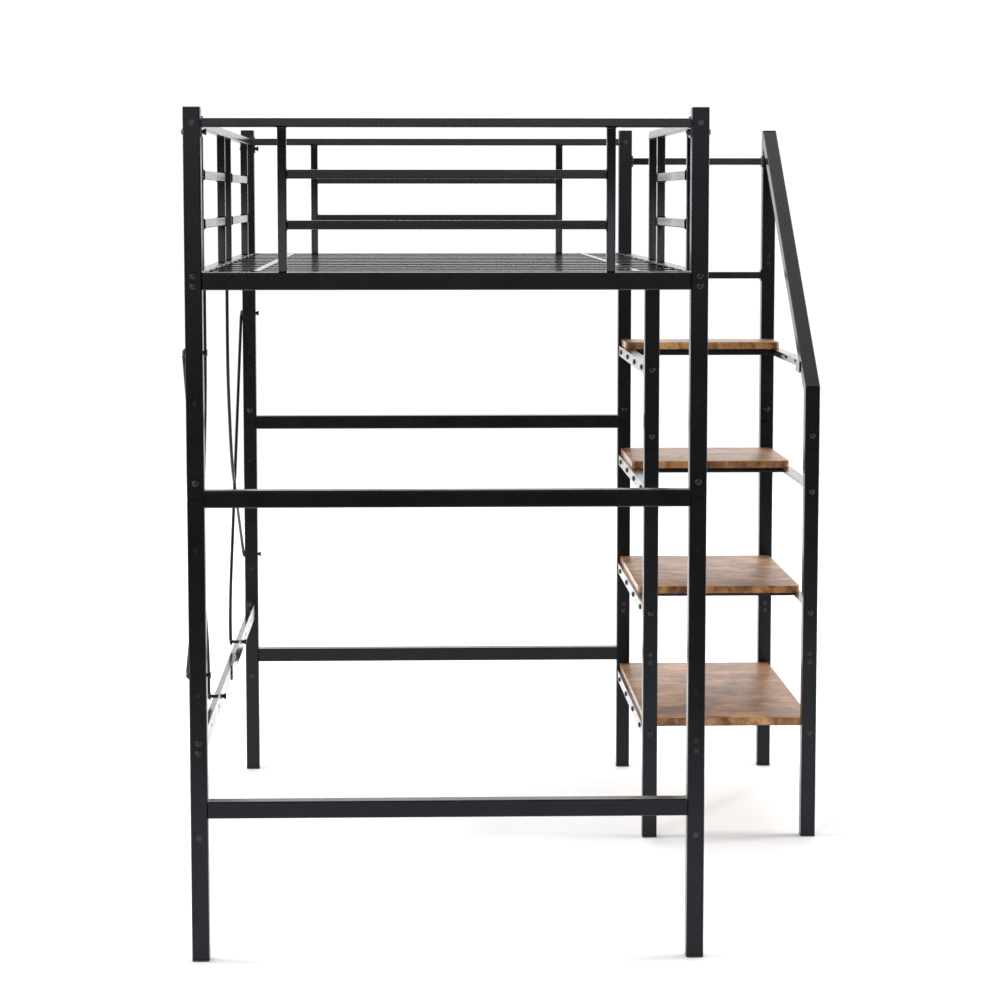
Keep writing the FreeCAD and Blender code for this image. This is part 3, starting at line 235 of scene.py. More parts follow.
@dataclass(frozen=True)
class PowderCoat:
    """Semi-gloss powder coat on steel: an orange-peel skin, faint handling marks and dust."""

    name: str
    dark: tuple[float, float, float] = (0.0030, 0.0031, 0.0035)
    light: tuple[float, float, float] = (0.0060, 0.0062, 0.0070)
    rough_low: float = 0.22
    rough_high: float = 0.28
    specular: float = 0.31
    sheen_tint: tuple[float, float, float, float] = (0.85, 0.89, 1.0, 1.0)
    peel: float = 900.0

    def make(self) -> bpy.types.Material:
        """Build the finish as a material."""
        nodes = Nodes(self.name)
        place = nodes.place()
        broad = nodes.noise(place, 7.0, 5.0, 0.4)
        rubbed = nodes.noise(nodes.place((22.0, 22.0, 22.0)), 1.0, 5.0, 0.4)
        peel = nodes.noise(place, self.peel, 2.0)
        colour = nodes.ramp(broad, [(0.30, self.dark), (0.72, self.light)])
        worn = nodes.ramp(rubbed, [(0.66, self.dark), (0.80, (0.014, 0.014, 0.015))])
        mask = nodes.spread(rubbed, 0.0, 0.5, 0.66, 0.80)
        nodes.link(nodes.mix(mask, colour, worn), nodes.shader.inputs["Base Color"])
        nodes.link(nodes.spread(rubbed, self.rough_low, self.rough_high),
                   nodes.shader.inputs["Roughness"])
        nodes.shader.inputs["Specular IOR Level"].default_value = self.specular
        nodes.shader.inputs["Specular Tint"].default_value = self.sheen_tint
        nodes.bump(peel, 0.00002)
        return nodes.material


@dataclass(frozen=True)
class MouldedPlastic:
    """Matt moulded plastic with a fine spark texture."""

    name: str
    colour: tuple[float, float, float] = (0.010, 0.010, 0.0105)
    roughness: float = 0.5

    def make(self) -> bpy.types.Material:
        """Build the finish as a material."""
        nodes = Nodes(self.name)
        place = nodes.place()
        grain = nodes.noise(place, 2200.0, 3.0)
        patches = nodes.noise(place, 90.0, 4.0)
        paler = tuple(1.7 * channel for channel in self.colour)
        nodes.link(nodes.ramp(patches, [(0.35, self.colour), (0.7, paler)]),
                   nodes.shader.inputs["Base Color"])
        nodes.link(nodes.spread(patches, self.roughness - 0.06, self.roughness + 0.08),
                   nodes.shader.inputs["Roughness"])
        nodes.shader.inputs["Specular IOR Level"].default_value = 0.5
        nodes.bump(grain, 0.00001)
        return nodes.material


@dataclass(frozen=True)
class BlackOxide:
    """Blackened fastener steel, brighter where tools have touched it."""

    name: str
    rough: float = 0.34

    def make(self) -> bpy.types.Material:
        """Build the finish as a material."""
        nodes = Nodes(self.name)
        place = nodes.place()
        patches = nodes.noise(place, 260.0, 5.0, 0.6)
        fine = nodes.noise(place, 1800.0, 3.0)
        nodes.link(nodes.ramp(patches, [(0.30, (0.012, 0.012, 0.013)), (0.62, (0.030, 0.030, 0.031)),
                                        (0.80, (0.10, 0.10, 0.10))]),
                   nodes.shader.inputs["Base Color"])
        nodes.link(nodes.spread(patches, self.rough - 0.08, self.rough + 0.1),
                   nodes.shader.inputs["Roughness"])
        nodes.shader.inputs["Metallic"].default_value = 0.45
        nodes.bump(fine, 0.00002)
        return nodes.material


@dataclass(frozen=True)
class WoodLaminate:
    """Rustic brown wood print: smoky mottles, amber patches, fine pores along the grain."""

    name: str
    grain: tuple[float, float, float]
    deep: tuple[float, float, float]
    middle: tuple[float, float, float]
    amber: tuple[float, float, float]
    mottle: float = 9.0
    rough: float = 0.42
    print_depth: float = 0.8

    def make(self) -> bpy.types.Material:
        """Build the finish as a material."""
        nodes = Nodes(self.name)
        along = nodes.place(self.grain)
        whole = nodes.place()
        clouds = nodes.noise(along, self.mottle, 7.0, 0.7)
        smoke = nodes.noise(whole, self.mottle * 1.6, 8.0, 0.9)
        streaks = nodes.noise(along, self.mottle * 16.0, 6.0, 0.8)
        pores = nodes.noise(along, self.mottle * 60.0, 3.0)
        ground = nodes.ramp(clouds, [(0.30, self.deep), (0.50, self.middle), (0.70, self.amber)])
        shade = nodes.ramp(smoke, [(0.34, (0.36, 0.33, 0.31)), (0.52, (1.0, 1.0, 1.0))])
        clouded = nodes.mix(self.print_depth, ground, shade, "MULTIPLY")
        lines = nodes.ramp(streaks, [(0.36, (0.60, 0.56, 0.52)), (0.60, (1.06, 1.04, 1.0))])
        share = nodes.spread(smoke, 0.35, 0.8)
        nodes.link(nodes.mix(share, clouded, nodes.mix(self.print_depth, clouded, lines, "MULTIPLY")),
                   nodes.shader.inputs["Base Color"])
        nodes.link(nodes.spread(streaks, self.rough - 0.06, self.rough + 0.10),
                   nodes.shader.inputs["Roughness"])
        nodes.shader.inputs["Specular IOR Level"].default_value = 0.26
        nodes.bump(pores, 0.00006)
        return nodes.material


class Finishes:
    """Every finish of the bed, made once."""

    def __init__(self) -> None:
        """Make the materials."""
        self.post = PowderCoat("powder_coat_posts").make()
        self.rail = PowderCoat("powder_coat_rails", rough_low=0.20, rough_high=0.27,
                               specular=0.31).make()
        self.guard = PowderCoat("powder_coat_guards", rough_low=0.17, rough_high=0.22,
                                specular=0.50).make()
        self.deck = PowderCoat("powder_coat_deck", rough_low=0.12, rough_high=0.18,
                               specular=0.08).make()
        self.angle = PowderCoat("powder_coat_angles", rough_low=0.12, rough_high=0.20,
                                specular=0.60).make()
        self.rod = PowderCoat("powder_coat_rods", rough_low=0.26, rough_high=0.38).make()
        self.fastener = BlackOxide("black_oxide_fasteners").make()
        self.screw = BlackOxide("black_zinc_screws", rough=0.30).make()
        self.plug = MouldedPlastic("moulded_plugs", roughness=0.16).make()
        self.foot = MouldedPlastic("moulded_feet", colour=(0.012, 0.012, 0.0125)).make()
        self.board_face = WoodLaminate(
            "rustic_laminate_face", grain=(0.80, 1.15, 1.0), deep=(0.110, 0.052, 0.028),
            middle=(0.290, 0.138, 0.062), amber=(0.47, 0.245, 0.112), mottle=12.0, rough=0.38).make()
        # The board's sides and eased edges take a lighter, more orange copy of the laminate: painted light
        # on the faces that turn to the front.
        self.board_sides_painted_light = WoodLaminate(
            "rustic_laminate_sides_painted_light", grain=(1.0, 1.0, 0.35), deep=(0.13, 0.052, 0.020),
            middle=(0.40, 0.185, 0.072), amber=(0.72, 0.38, 0.15), mottle=18.0, rough=0.16).make()


# ------------------------------------------------------------------ surfaces
class Skin:
    """Vertices and faces of one piece, gathered from surfaces worked out as grids of points."""

    def __init__(self) -> None:
        """Start with nothing."""
        self.points: list[np.ndarray] = []
        self.quads: list[np.ndarray] = []
        self.ends: list[np.ndarray] = []
        self.quad_slots: list[np.ndarray] = []
        self.count = 0

    def sweep(self, grid: np.ndarray, cap_low: bool = True, cap_high: bool = True,
              slot: int = 0) -> None:
        """Add a surface of rings that close on themselves, with flat ends.

        Args:
            grid: points as (ring, place round the ring, xyz); rings advance along a direction about
                which their points turn anticlockwise, so that faces point outwards.
            cap_low: close the first ring with one face.
            cap_high: close the last ring with one face.
            slot: which of the piece's finishes the surface takes.
        """
        rings, around = grid.shape[:2]
        index = np.arange(rings * around).reshape(rings, around) + self.count
        ahead = np.roll(index, -1, axis=1)
        quads = np.stack([index[:-1], ahead[:-1], ahead[1:], index[1:]], axis=-1).reshape(-1, 4)
        self.points.append(grid.reshape(-1, 3))
        self.quads.append(quads)
        self.quad_slots.append(np.full(len(quads), slot))
        if cap_low:
            self.ends.append(index[0][::-1])
        if cap_high:
            self.ends.append(index[-1])
        self.count += rings * around

    def finish(self, name: str, nodes: list[str], slot: str, finishes: list[bpy.types.Material],
               sharp: float = 40.0) -> None:
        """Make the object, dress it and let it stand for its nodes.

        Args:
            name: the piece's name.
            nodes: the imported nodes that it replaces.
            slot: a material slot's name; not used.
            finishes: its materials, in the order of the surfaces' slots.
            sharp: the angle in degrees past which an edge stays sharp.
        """
        quads = np.concatenate(self.quads)
        faces = quads.tolist() + [end.tolist() for end in self.ends]
        mesh = bpy.data.meshes.new(name)
        mesh.from_pydata(np.concatenate(self.points).tolist(), [], faces)
        slots = np.zeros(len(faces), np.int32)
        slots[:len(quads)] = np.concatenate(self.quad_slots)
        mesh.polygons.foreach_set("material_index", slots)
        mesh.polygons.foreach_set("use_smooth", np.ones(len(faces), bool))
        for finish in finishes:
            mesh.materials.append(finish)
        mesh.update()
        mesh.set_sharp_from_angle(angle=math.radians(sharp))
        piece = bpy.data.objects.new(name, mesh)
        bpy.context.scene.collection.objects.link(piece)
        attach(piece, "root")
        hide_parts(*nodes)
        LOG.info("%s: %d points, %d faces", name, self.count, len(faces))


def rounded_outline(width: float, height: float, radius: float, steps: int = 3,
                    support: float = 0.4 * MM) -> np.ndarray:
    """A rectangle with rounded corners: four quarter circles about points one radius in from the
    corners, with one more point on the flat beside each end of each arc.

    Args:
        width: full size along the first axis.
        height: full size along the second axis.
        radius: corner radius.
        steps: arc segments at each corner.
        support: distance of the extra points from the arc's ends.
    Returns:
        Points as (n, 2), anticlockwise.
    """
    corners = np.array([[1, 1], [-1, 1], [-1, -1], [1, -1]], float)
    starts = np.array([0.0, 0.5, 1.0, 1.5]) * math.pi
    turn = np.linspace(0.0, 0.5 * math.pi, steps + 1)
    angle = starts[:, None] + turn[None, :]
    centre = corners * (np.array([width, height]) / 2 - radius)
    arc = centre[:, None, :] + radius * np.stack([np.cos(angle), np.sin(angle)], axis=-1)
    before = arc[:, :1] - support * np.stack([-np.sin(angle), np.cos(angle)], axis=-1)[:, :1]
    after = arc[:, -1:] + support * np.stack([-np.sin(angle), np.cos(angle)], axis=-1)[:, -1:]
    return np.concatenate([before, arc, after], axis=1).reshape(-1, 2)


def flare_profile(bead: float, steps: int = 4) -> tuple[np.ndarray, np.ndarray]:
    """A weld fillet at a tube's end: at distance d the wall stands out by b - sqrt(2bd - d*d), a
    quarter circle that is hollow outwards.

    Args:
        bead: the fillet's radius b.
        steps: rings in the fillet.
    Returns:
        Distances from the end, and how far the wall stands out there.
    """
    distance = bead * (1 - np.cos(np.linspace(0.0, 0.5 * math.pi, steps + 1)))
    return distance, bead - np.sqrt(np.maximum(2 * bead * distance - distance ** 2, 0.0))


def easing_profile(chamfer: float) -> tuple[np.ndarray, np.ndarray]:
    """A cut end with a broken edge: the wall stands in by the chamfer at the end.

    Args:
        chamfer: how far the edge is broken along and across the tube.
    Returns:
        Distances from the end, and how far the wall stands out there.
    """
    return np.array([0.0, chamfer, 2.5 * chamfer]), np.array([-chamfer, 0.0, 0.0])


def square_tube(axis: Axis, low: np.ndarray, high: np.ndarray, radius: float,
                bead_low: float = 0.0, bead_high: float = 0.0,
                chamfer: float = 0.5 * MM) -> np.ndarray:
    """A straight square tube: a rounded outline carried along one axis, and grown or shrunk near
    its ends by a weld fillet or a broken edge.

    Args:
        axis: the direction of the tube.
        low: lowest corner of its box.
        high: highest corner of its box.
        radius: corner radius of its outline.
        bead_low: weld fillet at the low end, 0 for a cut end.
        bead_high: weld fillet at the high end, 0 for a cut end.
        chamfer: broken edge of a cut end.
    Returns:
        A grid of rings for Skin.sweep.
    """
    along, across, up = axis.basis()
    low, high = np.asarray(low, float), np.asarray(high, float)
    size = high - low
    width, height = size @ across, size @ up
    near_at, near_out = flare_profile(bead_low) if bead_low else easing_profile(chamfer)
    far_at, far_out = flare_profile(bead_high) if bead_high else easing_profile(chamfer)
    length = size @ along
    place = np.concatenate([near_at, length - far_at[::-1]])
    out = np.concatenate([near_out, far_out[::-1]])
    base = rounded_outline(width, height, radius)
    centre = np.array([width, height]) / 2 - radius
    middle = np.clip(base, -centre, centre)
    radial = base - middle
    grown = base[None] + out[:, None, None] * radial[None] / np.maximum(
        np.linalg.norm(radial, axis=1), 1e-9)[None, :, None]
    origin = (low + high) / 2 - along * length / 2
    return (origin + place[:, None, None] * along
            + grown[..., :1] * across + grown[..., 1:] * up)


def turned(axis: Axis, sense: float, base: np.ndarray, radius: np.ndarray, height: np.ndarray,
           facets: np.ndarray | None = None, around: int = 24) -> np.ndarray:
    """A turned shape: circles of given radii at given heights about an axis, any of which can be a
    hexagon, whose radius is its inner radius over the cosine of the angle from its nearest flat.

    Args:
        axis: the axis of turning.
        sense: +1 or -1, the way in which height grows.
        base: the point of height zero.
        radius: radius of each ring.
        height: height of each ring.
        facets: 1 where a ring is a hexagon, 0 where it is round.
        around: points in each ring.
    Returns:
        A grid of rings for Skin.sweep.
    """
    along, across, up = axis.basis()
    turn = np.arange(around) * 2 * math.pi / around
    flat = np.mod(turn, math.pi / 3) - math.pi / 6
    hexed = 1 / np.cos(flat)
    facets = np.zeros(len(radius)) if facets is None else facets
    reach = radius[:, None] * (1 + facets[:, None] * (hexed[None] - 1))
    ring = (np.cos(turn)[:, None] * across + np.sin(turn)[:, None] * up * sense)[None]
    return base + reach[..., None] * ring + (height * sense)[:, None, None] * along


def round_rod(path: np.ndarray, radius: float, around: int = 14) -> np.ndarray:
    """A round rod: a circle carried along a path that lies in a plane of constant x.

    Args:
        path: points as (n, 3).
        radius: the rod's radius.
        around: points in each ring.
    Returns:
        A grid of rings for Skin.sweep.
    """
    run = np.gradient(path, axis=0)
    run /= np.linalg.norm(run, axis=1)[:, None]
    side = np.array([1.0, 0.0, 0.0])
    normal = np.cross(run, side)
    turn = np.arange(around) * 2 * math.pi / around
    ring = (np.cos(turn)[None, :, None] * side
            + np.sin(turn)[None, :, None] * normal[:, None, :])
    return path[:, None, :] + radius * ring


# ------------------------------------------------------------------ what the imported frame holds
@dataclass(frozen=True)
class Solid:
    """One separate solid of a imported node."""

    points: np.ndarray

    @property
    def low(self) -> np.ndarray:
        """Its lowest corner."""
        return self.points.min(axis=0)

    @property
    def high(self) -> np.ndarray:
        """Its highest corner."""
        return self.points.max(axis=0)

    def wide_end(self, axis: Axis) -> float:
        """Which end is wider across an axis.

        Args:
            axis: the axis that the solid runs along.
        Returns:
            -1 for the low end, +1 for the high end.
        """
        at = self.points[:, axis.value]
        middle = (self.low + self.high) / 2
        off = np.delete(self.points - middle, axis.value, axis=1)
        reach = np.linalg.norm(off, axis=1)
        half = (at.min() + at.max()) / 2
        return -1.0 if reach[at < half].max() > reach[at >= half].max() else 1.0


def box_of(node: str) -> tuple[np.ndarray, np.ndarray]:
    """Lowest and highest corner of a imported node."""
    low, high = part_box(node)
    return np.array(low), np.array(high)


def solids_of(node: str) -> list[Solid]:
    """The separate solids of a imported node: labels spread over faces that share a place until none
    changes.

    Args:
        node: the node's name.
    Returns:
        Its solids.
    """
    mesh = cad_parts[node].data
    points = np.empty(len(mesh.vertices) * 3, np.float32)
    mesh.vertices.foreach_get("co", points)
    corners = np.empty(len(mesh.loops), np.int32)
    mesh.loops.foreach_get("vertex_index", corners)
    places, same = np.unique(np.round(points.reshape(-1, 3), 6), axis=0, return_inverse=True)
    faces = same.reshape(-1)[corners].reshape(-1, 3)
    label = np.arange(len(places))
    while True:
        lowest = label[faces].min(axis=1)
        spread = label.copy()
        np.minimum.at(spread, faces.ravel(), np.repeat(lowest, 3))
        spread = spread[spread]
        if np.array_equal(spread, label):
            break
        label = spread
    return [Solid(places[label == mark].astype(float)) for mark in np.unique(label)]


# ------------------------------------------------------------------ posts and end frames
@dataclass
class Posts:
    """The square posts: one rounded tube for each length between floor, joint and top."""

    names: tuple[str, ...]
    corner: float = 3.2 * MM
    seam: float = 1.1 * MM

    def build(self, finishes: Finishes) -> None:
        """Skin every post with a rounded tube whose cut ends have broken edges."""
        for name in self.names:
            skin = Skin()
            low, high = box_of(name)
            skin.sweep(square_tube(Axis.Z, low, high, self.corner, chamfer=self.seam))
            skin.finish(name + "_tube", [name], "post_black", [finishes.post])


@dataclass
class Crossbars:
    """Single straight tubes along one axis, welded at both ends."""

    names: tuple[str, ...]
    axis: Axis
    slot: str
    corner: float = 3.0 * MM
    bead: float = 2.2 * MM

    def build(self, finish: bpy.types.Material) -> None:
        """Skin every crossbar with a rounded tube that flares into its welds."""
        for name in self.names:
            skin = Skin()
            low, high = box_of(name)
            skin.sweep(square_tube(self.axis, low, high, self.corner, self.bead, self.bead))
            skin.finish(name + "_tube", [name], self.slot, [finish])


@dataclass
class DeckRails:
    """Side rails of the deck: a tube and the strip inside it that carries the slats."""

    names: tuple[str, ...]
    tube: float = 35 * MM
    corner: float = 3.0 * MM
    strip_thick: float = 2 * MM
    strip_drop: float = 12 * MM
    seam: float = 0.6 * MM
    strip_corner: float = 0.6 * MM
    strip_edge: float = 0.3 * MM

    def build(self, finishes: Finishes) -> None:
        """Skin each half rail and its strip."""
        for name in self.names:
            low, high = box_of(name)
            on_left = low[0] < 0
            tube_low, tube_high = low.copy(), high.copy()
            strip_low, strip_high = low.copy(), high.copy()
            if on_left:
                tube_high[0] = strip_low[0] = low[0] + self.tube
            else:
                tube_low[0] = strip_high[0] = high[0] - self.tube
            strip_high[2] = high[2] - self.strip_drop
            strip_low[2] = strip_high[2] - self.strip_thick
            skin = Skin()
            skin.sweep(square_tube(Axis.Y, tube_low, tube_high, self.corner, chamfer=self.seam))
            skin.sweep(square_tube(Axis.Y, strip_low, strip_high, self.strip_corner,
                                   chamfer=self.strip_edge))
            skin.finish(name + "_tube", [name], "rail_black", [finishes.rail])


@dataclass
class Guard:
    """A guard of thin square tube: a top rail, uprights, and two rails between the first two.

    A place above zero is the distance of an upright's near face from the guard's low end. A place of
    zero or less is that of its far face from the high end."""

    node: str
    axis: Axis
    places: tuple[float, ...]
    tube: float = 18 * MM
    rail_heights: tuple[float, float] = (93.5 * MM, 193.5 * MM)
    corner: float = 2.4 * MM
    bead: float = 3.0 * MM

    def upright_spans(self, low: float, high: float) -> list[tuple[float, float]]:
        """Where each upright starts and ends along the guard.

        Args:
            low: the guard's low end.
            high: the guard's high end.
        Returns:
            Its start and end, for each upright.
        """
        spans = []
        for place in self.places:
            start = low + place if place > 0 else high + place - self.tube
            spans.append((start, start + self.tube))
        return spans

    def build(self, finishes: Finishes) -> None:
        """Skin the guard's tubes, flared where they are welded to each other."""
        low, high = box_of(self.node)
        index = self.axis.value
        skin = Skin()

        def tube_box(start: float, end: float, bottom: float, top: float) -> list[np.ndarray]:
            """The lowest and highest corner of a box between two places along it and two heights."""
            box_low, box_high = low.copy(), high.copy()
            box_low[index], box_high[index] = start, end
            box_low[2], box_high[2] = bottom, top
            return [box_low, box_high]

        under_top = high[2] - self.tube
        end_bead = self.bead if self.axis is Axis.X else 0.0
        skin.sweep(square_tube(self.axis, *tube_box(low[index], high[index], under_top, high[2]),
                               self.corner, end_bead, end_bead))
        spans = self.upright_spans(low[index], high[index])
        for start, end in spans:
            skin.sweep(square_tube(Axis.Z, *tube_box(start, end, low[2], under_top), self.corner,
                                   self.bead, self.bead))
        for height in self.rail_heights:
            middle = low[2] + height
            skin.sweep(square_tube(
                self.axis, *tube_box(spans[0][1], spans[1][0], middle - self.tube / 2,
                                     middle + self.tube / 2), self.corner, self.bead, self.bead))
        skin.finish(self.node + "_grid", [self.node], "guard_black", [finishes.guard])


@dataclass
class Handrail:
    """The stair's front outer upright and the sloping rail: a rounded tube cut on a mitre."""

    upright: str = "handrail_upright"
    rail: str = "handrail"
    size: float = 35 * MM
    corner: float = 3.2 * MM
    seam: float = 0.7 * MM
    bend_half: float = 0.6 * MM

    def build(self, finishes: Finishes) -> None:
        """Skin both tubes as one piece.

        The outline's second coordinate is carried along the path's outward normal n in the side
        plane; at the bend it is carried along (n1 + n2) / (1 + n1.n2), and at the top it runs down
        the slope until it meets the back post's upright face."""
        up_low, up_high = box_of(self.upright)
        low, high = box_of(self.rail)
        half = self.size / 2
        kink = np.array([low[1], up_high[2]])
        end_y = high[1]
        rise = (high[2] - kink[1]) / (end_y - kink[0])
        slope = math.atan(rise)
        first = np.array([-1.0, 0.0])
        second = np.array([-math.sin(slope), math.cos(slope)])
        mitre = (first + second) / (1 + first @ second)
        bend = kink - mitre * half
        outline = rounded_outline(self.size, self.size, self.corner)
        x_middle = (low[0] + high[0]) / 2
        across = outline[:, 0] + x_middle
        out = outline[:, 1]
        eased_at, eased_out = easing_profile(self.seam)
        rings = []
        for z, share in zip(up_low[2] + eased_at, 1 + 2 * eased_out / self.size):
            rings.append(np.stack([x_middle + outline[:, 0] * share, bend[0] - out * share,
                                   np.full(len(out), z)], axis=-1))
        at_bend = bend + out[:, None] * mitre
        direction = np.array([math.cos(slope), math.sin(slope)])
        for offset in (-self.bend_half, 0.0):
            rings.append(np.stack([across, at_bend[:, 0], at_bend[:, 1] + offset], axis=-1))
        ahead = at_bend + direction * self.bend_half
        rings.append(np.stack([across, ahead[:, 0], ahead[:, 1]], axis=-1))
        run = (end_y - at_bend[:, 0]) / direction[0]
        top = at_bend + direction * run[:, None]
        rings.append(np.stack([across, top[:, 0], top[:, 1]], axis=-1))
        skin = Skin()
        skin.sweep(np.stack(rings))
        skin.finish("handrail_bent_tube", [self.upright, self.rail], "post_black", [finishes.post])


@dataclass
class PostEnds:
    """Moulded caps on the posts' tops and feet under them."""

    lid: float = 2.5 * MM
    sole: float = 4.0 * MM
    corner: float = 3.2 * MM
    crown: float = 1.1 * MM

    def pad(self, low: np.ndarray, high: np.ndarray, up: bool) -> np.ndarray:
        """A rounded square plate whose free side is eased by a quarter ellipse.

        Args:
            low: lowest corner of the plate.
            high: highest corner of the plate.
            up: True where the free side is the top.
        Returns:
            A grid of rings.
        """
        size = high - low
        outline = rounded_outline(size[0], size[1], self.corner)
        turn = np.linspace(0.0, 0.5 * math.pi, 5)
        inward = self.crown * (1 - np.cos(turn))
        rise = self.crown * np.sin(turn)
        thick = size[2]
        heights = np.concatenate([[0.0, thick - self.crown], thick - self.crown + rise[1:]])
        shrink = np.concatenate([[0.0, 0.0], inward[1:]])
        if not up:
            heights, shrink = (thick - heights)[::-1], shrink[::-1]
        scale = 1 - 2 * shrink / size[0]
        middle = (low + high) / 2
        grid = np.empty((len(heights), len(outline), 3))
        grid[..., 0] = middle[0] + outline[None, :, 0] * scale[:, None]
        grid[..., 1] = middle[1] + outline[None, :, 1] * scale[:, None]
        grid[..., 2] = low[2] + heights[:, None]
        return grid

    def build(self, finishes: Finishes) -> None:
        """Skin the five caps and the seven feet."""
        caps, feet = Skin(), Skin()
        for solid in solids_of("post_top_caps"):
            low = solid.low.copy()
            low[2] = solid.high[2] - self.lid
            caps.sweep(self.pad(low, solid.high, True))
        for solid in solids_of("post_feet"):
            high = solid.high.copy()
            high[2] = solid.low[2] + self.sole
            feet.sweep(self.pad(solid.low, high, False))
        caps.finish("post_cap_lids", ["post_top_caps"], "plug_plastic", [finishes.plug])
        feet.finish("post_foot_pads", ["post_feet"], "foot_plastic", [finishes.foot])


# ------------------------------------------------------------------ deck
@dataclass
class Slats:
    """Deck slats: shallow channels folded from sheet, open below."""

    wall: float = 1.0 * MM
    fold: float = 2.2 * MM

    def section(self, width: float, height: float) -> np.ndarray:
        """A channel's section: an outer arch with folded corners, and an inner arch one wall in.

        Args:
            width: full width.
            height: full height.
        Returns:
            Points as (n, 2), anticlockwise, with the open side at height zero.
        """
        turn = np.linspace(0.0, 0.5 * math.pi, 5)
        half, inner = width / 2, self.fold - self.wall
        right = np.stack([half - self.fold + self.fold * np.cos(turn),
                          height - self.fold + self.fold * np.sin(turn)], axis=-1)
        left = right[::-1] * [-1, 1]
        outer = np.concatenate([[[half, 0.0]], right, left, [[-half, 0.0]]])
        edge = half - self.wall
        in_left = np.stack([-(edge - inner + inner * np.cos(turn)),
                            height - self.fold + inner * np.sin(turn)], axis=-1)
        in_right = in_left[::-1] * [-1, 1]
        hollow = np.concatenate([[[-edge, 0.0]], in_left, in_right, [[edge, 0.0]]])
        return np.concatenate([outer, hollow])

    def build(self, finishes: Finishes) -> None:
        """Carry the section along X for every slat."""
        skin = Skin()
        for solid in solids_of("deck_slats"):
            low, high = solid.low, solid.high
            section = self.section(high[1] - low[1], high[2] - low[2])
            grid = np.empty((2, len(section), 3))
            grid[..., 0] = np.array([low[0], high[0]])[:, None]
            grid[..., 1] = (low[1] + high[1]) / 2 + section[None, :, 0]
            grid[..., 2] = low[2] + section[None, :, 1]
            skin.sweep(grid)
        skin.finish("deck_slat_channels", ["deck_slats"], "deck_black", [finishes.deck], 30.0)


# ------------------------------------------------------------------ stair
@dataclass
class StepBoard:
    """A laminated step board with rounded front corners and eased edges."""

    node: str
    front_corner: float = 12 * MM
    back_corner: float = 1.5 * MM
    ease: float = 1.3 * MM
    least_corner: float = 0.05 * MM

    def outline(self, low: np.ndarray, high: np.ndarray, inset: float) -> np.ndarray:
        """The board's plan, one inset in from its edge, anticlockwise from the front right corner.

        Each corner is a quarter circle about a point one radius in from both edges.

        Args:
            low: lowest corner of the board.
            high: highest corner of the board.
            inset: how far the plan is drawn in.
        Returns:
            Points as (n, 2) of x and y.
        """
        corners = [(high[0], low[1], self.front_corner, -0.5), (high[0], high[1], self.back_corner, 0.0),
                   (low[0], high[1], self.back_corner, 0.5), (low[0], low[1], self.front_corner, 1.0)]
        parts = []
        for x, y, radius, start in corners:
            centre = np.array([x - math.copysign(radius, x - (low[0] + high[0]) / 2),
                               y - math.copysign(radius, y - (low[1] + high[1]) / 2)])
            turn = (start + np.linspace(0.0, 0.5, 9)) * math.pi
            reach = max(radius - inset, self.least_corner)
            parts.append(centre + reach * np.stack([np.cos(turn), np.sin(turn)], axis=-1))
        return np.concatenate(parts)

    def build(self, finishes: Finishes) -> None:
        """Raise the plan from the underside to the top, in by the easing at both."""
        low, high = box_of(self.node)
        turn = np.linspace(0.0, 0.5 * math.pi, 5)
        inset = self.ease * (1 - np.sin(turn))
        rise = self.ease * (1 - np.cos(turn))
        thick = high[2] - low[2]
        insets = np.concatenate([inset, inset[::-1]])
        heights = np.concatenate([rise, thick - rise[::-1]])
        plans = np.stack([self.outline(low, high, step) for step in insets])
        levels = np.broadcast_to((low[2] + heights)[:, None, None], (*plans.shape[:2], 1))
        skin = Skin()
        # The sides and eased edges (slot 1) take the lighter copy of the laminate, painted light; the top
        # and underside take the plain laminate.
        skin.sweep(np.concatenate([plans, levels], axis=-1), slot=1)
        skin.finish(self.node + "_laminate", [self.node], "board_wood",
                    [finishes.board_face, finishes.board_sides_painted_light], 50.0)


@dataclass
class StairBars:
    """Thin tubes behind and under the steps."""

    corner: float = 2.2 * MM
    bead: float = 2.4 * MM
    plate_corner: float = 3.0 * MM
    plate_edge: float = 0.7 * MM

    def build(self, finishes: Finishes) -> None:
        """Skin the step crossbars, and the two bars across the stair's back with their plates."""
        under = Skin()
        for solid in solids_of("step_crossbars"):
            under.sweep(square_tube(Axis.X, solid.low, solid.high, self.corner, self.bead, self.bead))
        under.finish("step_crossbar_tubes", ["step_crossbars"], "guard_black", [finishes.guard])
        back = Skin()
        for solid in solids_of("stair_back_bars"):
            size = solid.high - solid.low
            if size[0] > size[1]:
                back.sweep(square_tube(Axis.X, solid.low, solid.high, self.corner, self.bead,
                                       self.bead))
            else:
                back.sweep(square_tube(Axis.X, solid.low, solid.high, self.plate_corner,
                                       chamfer=self.plate_edge))
        back.finish("stair_back_tubes", ["stair_back_bars"], "guard_black", [finishes.guard])


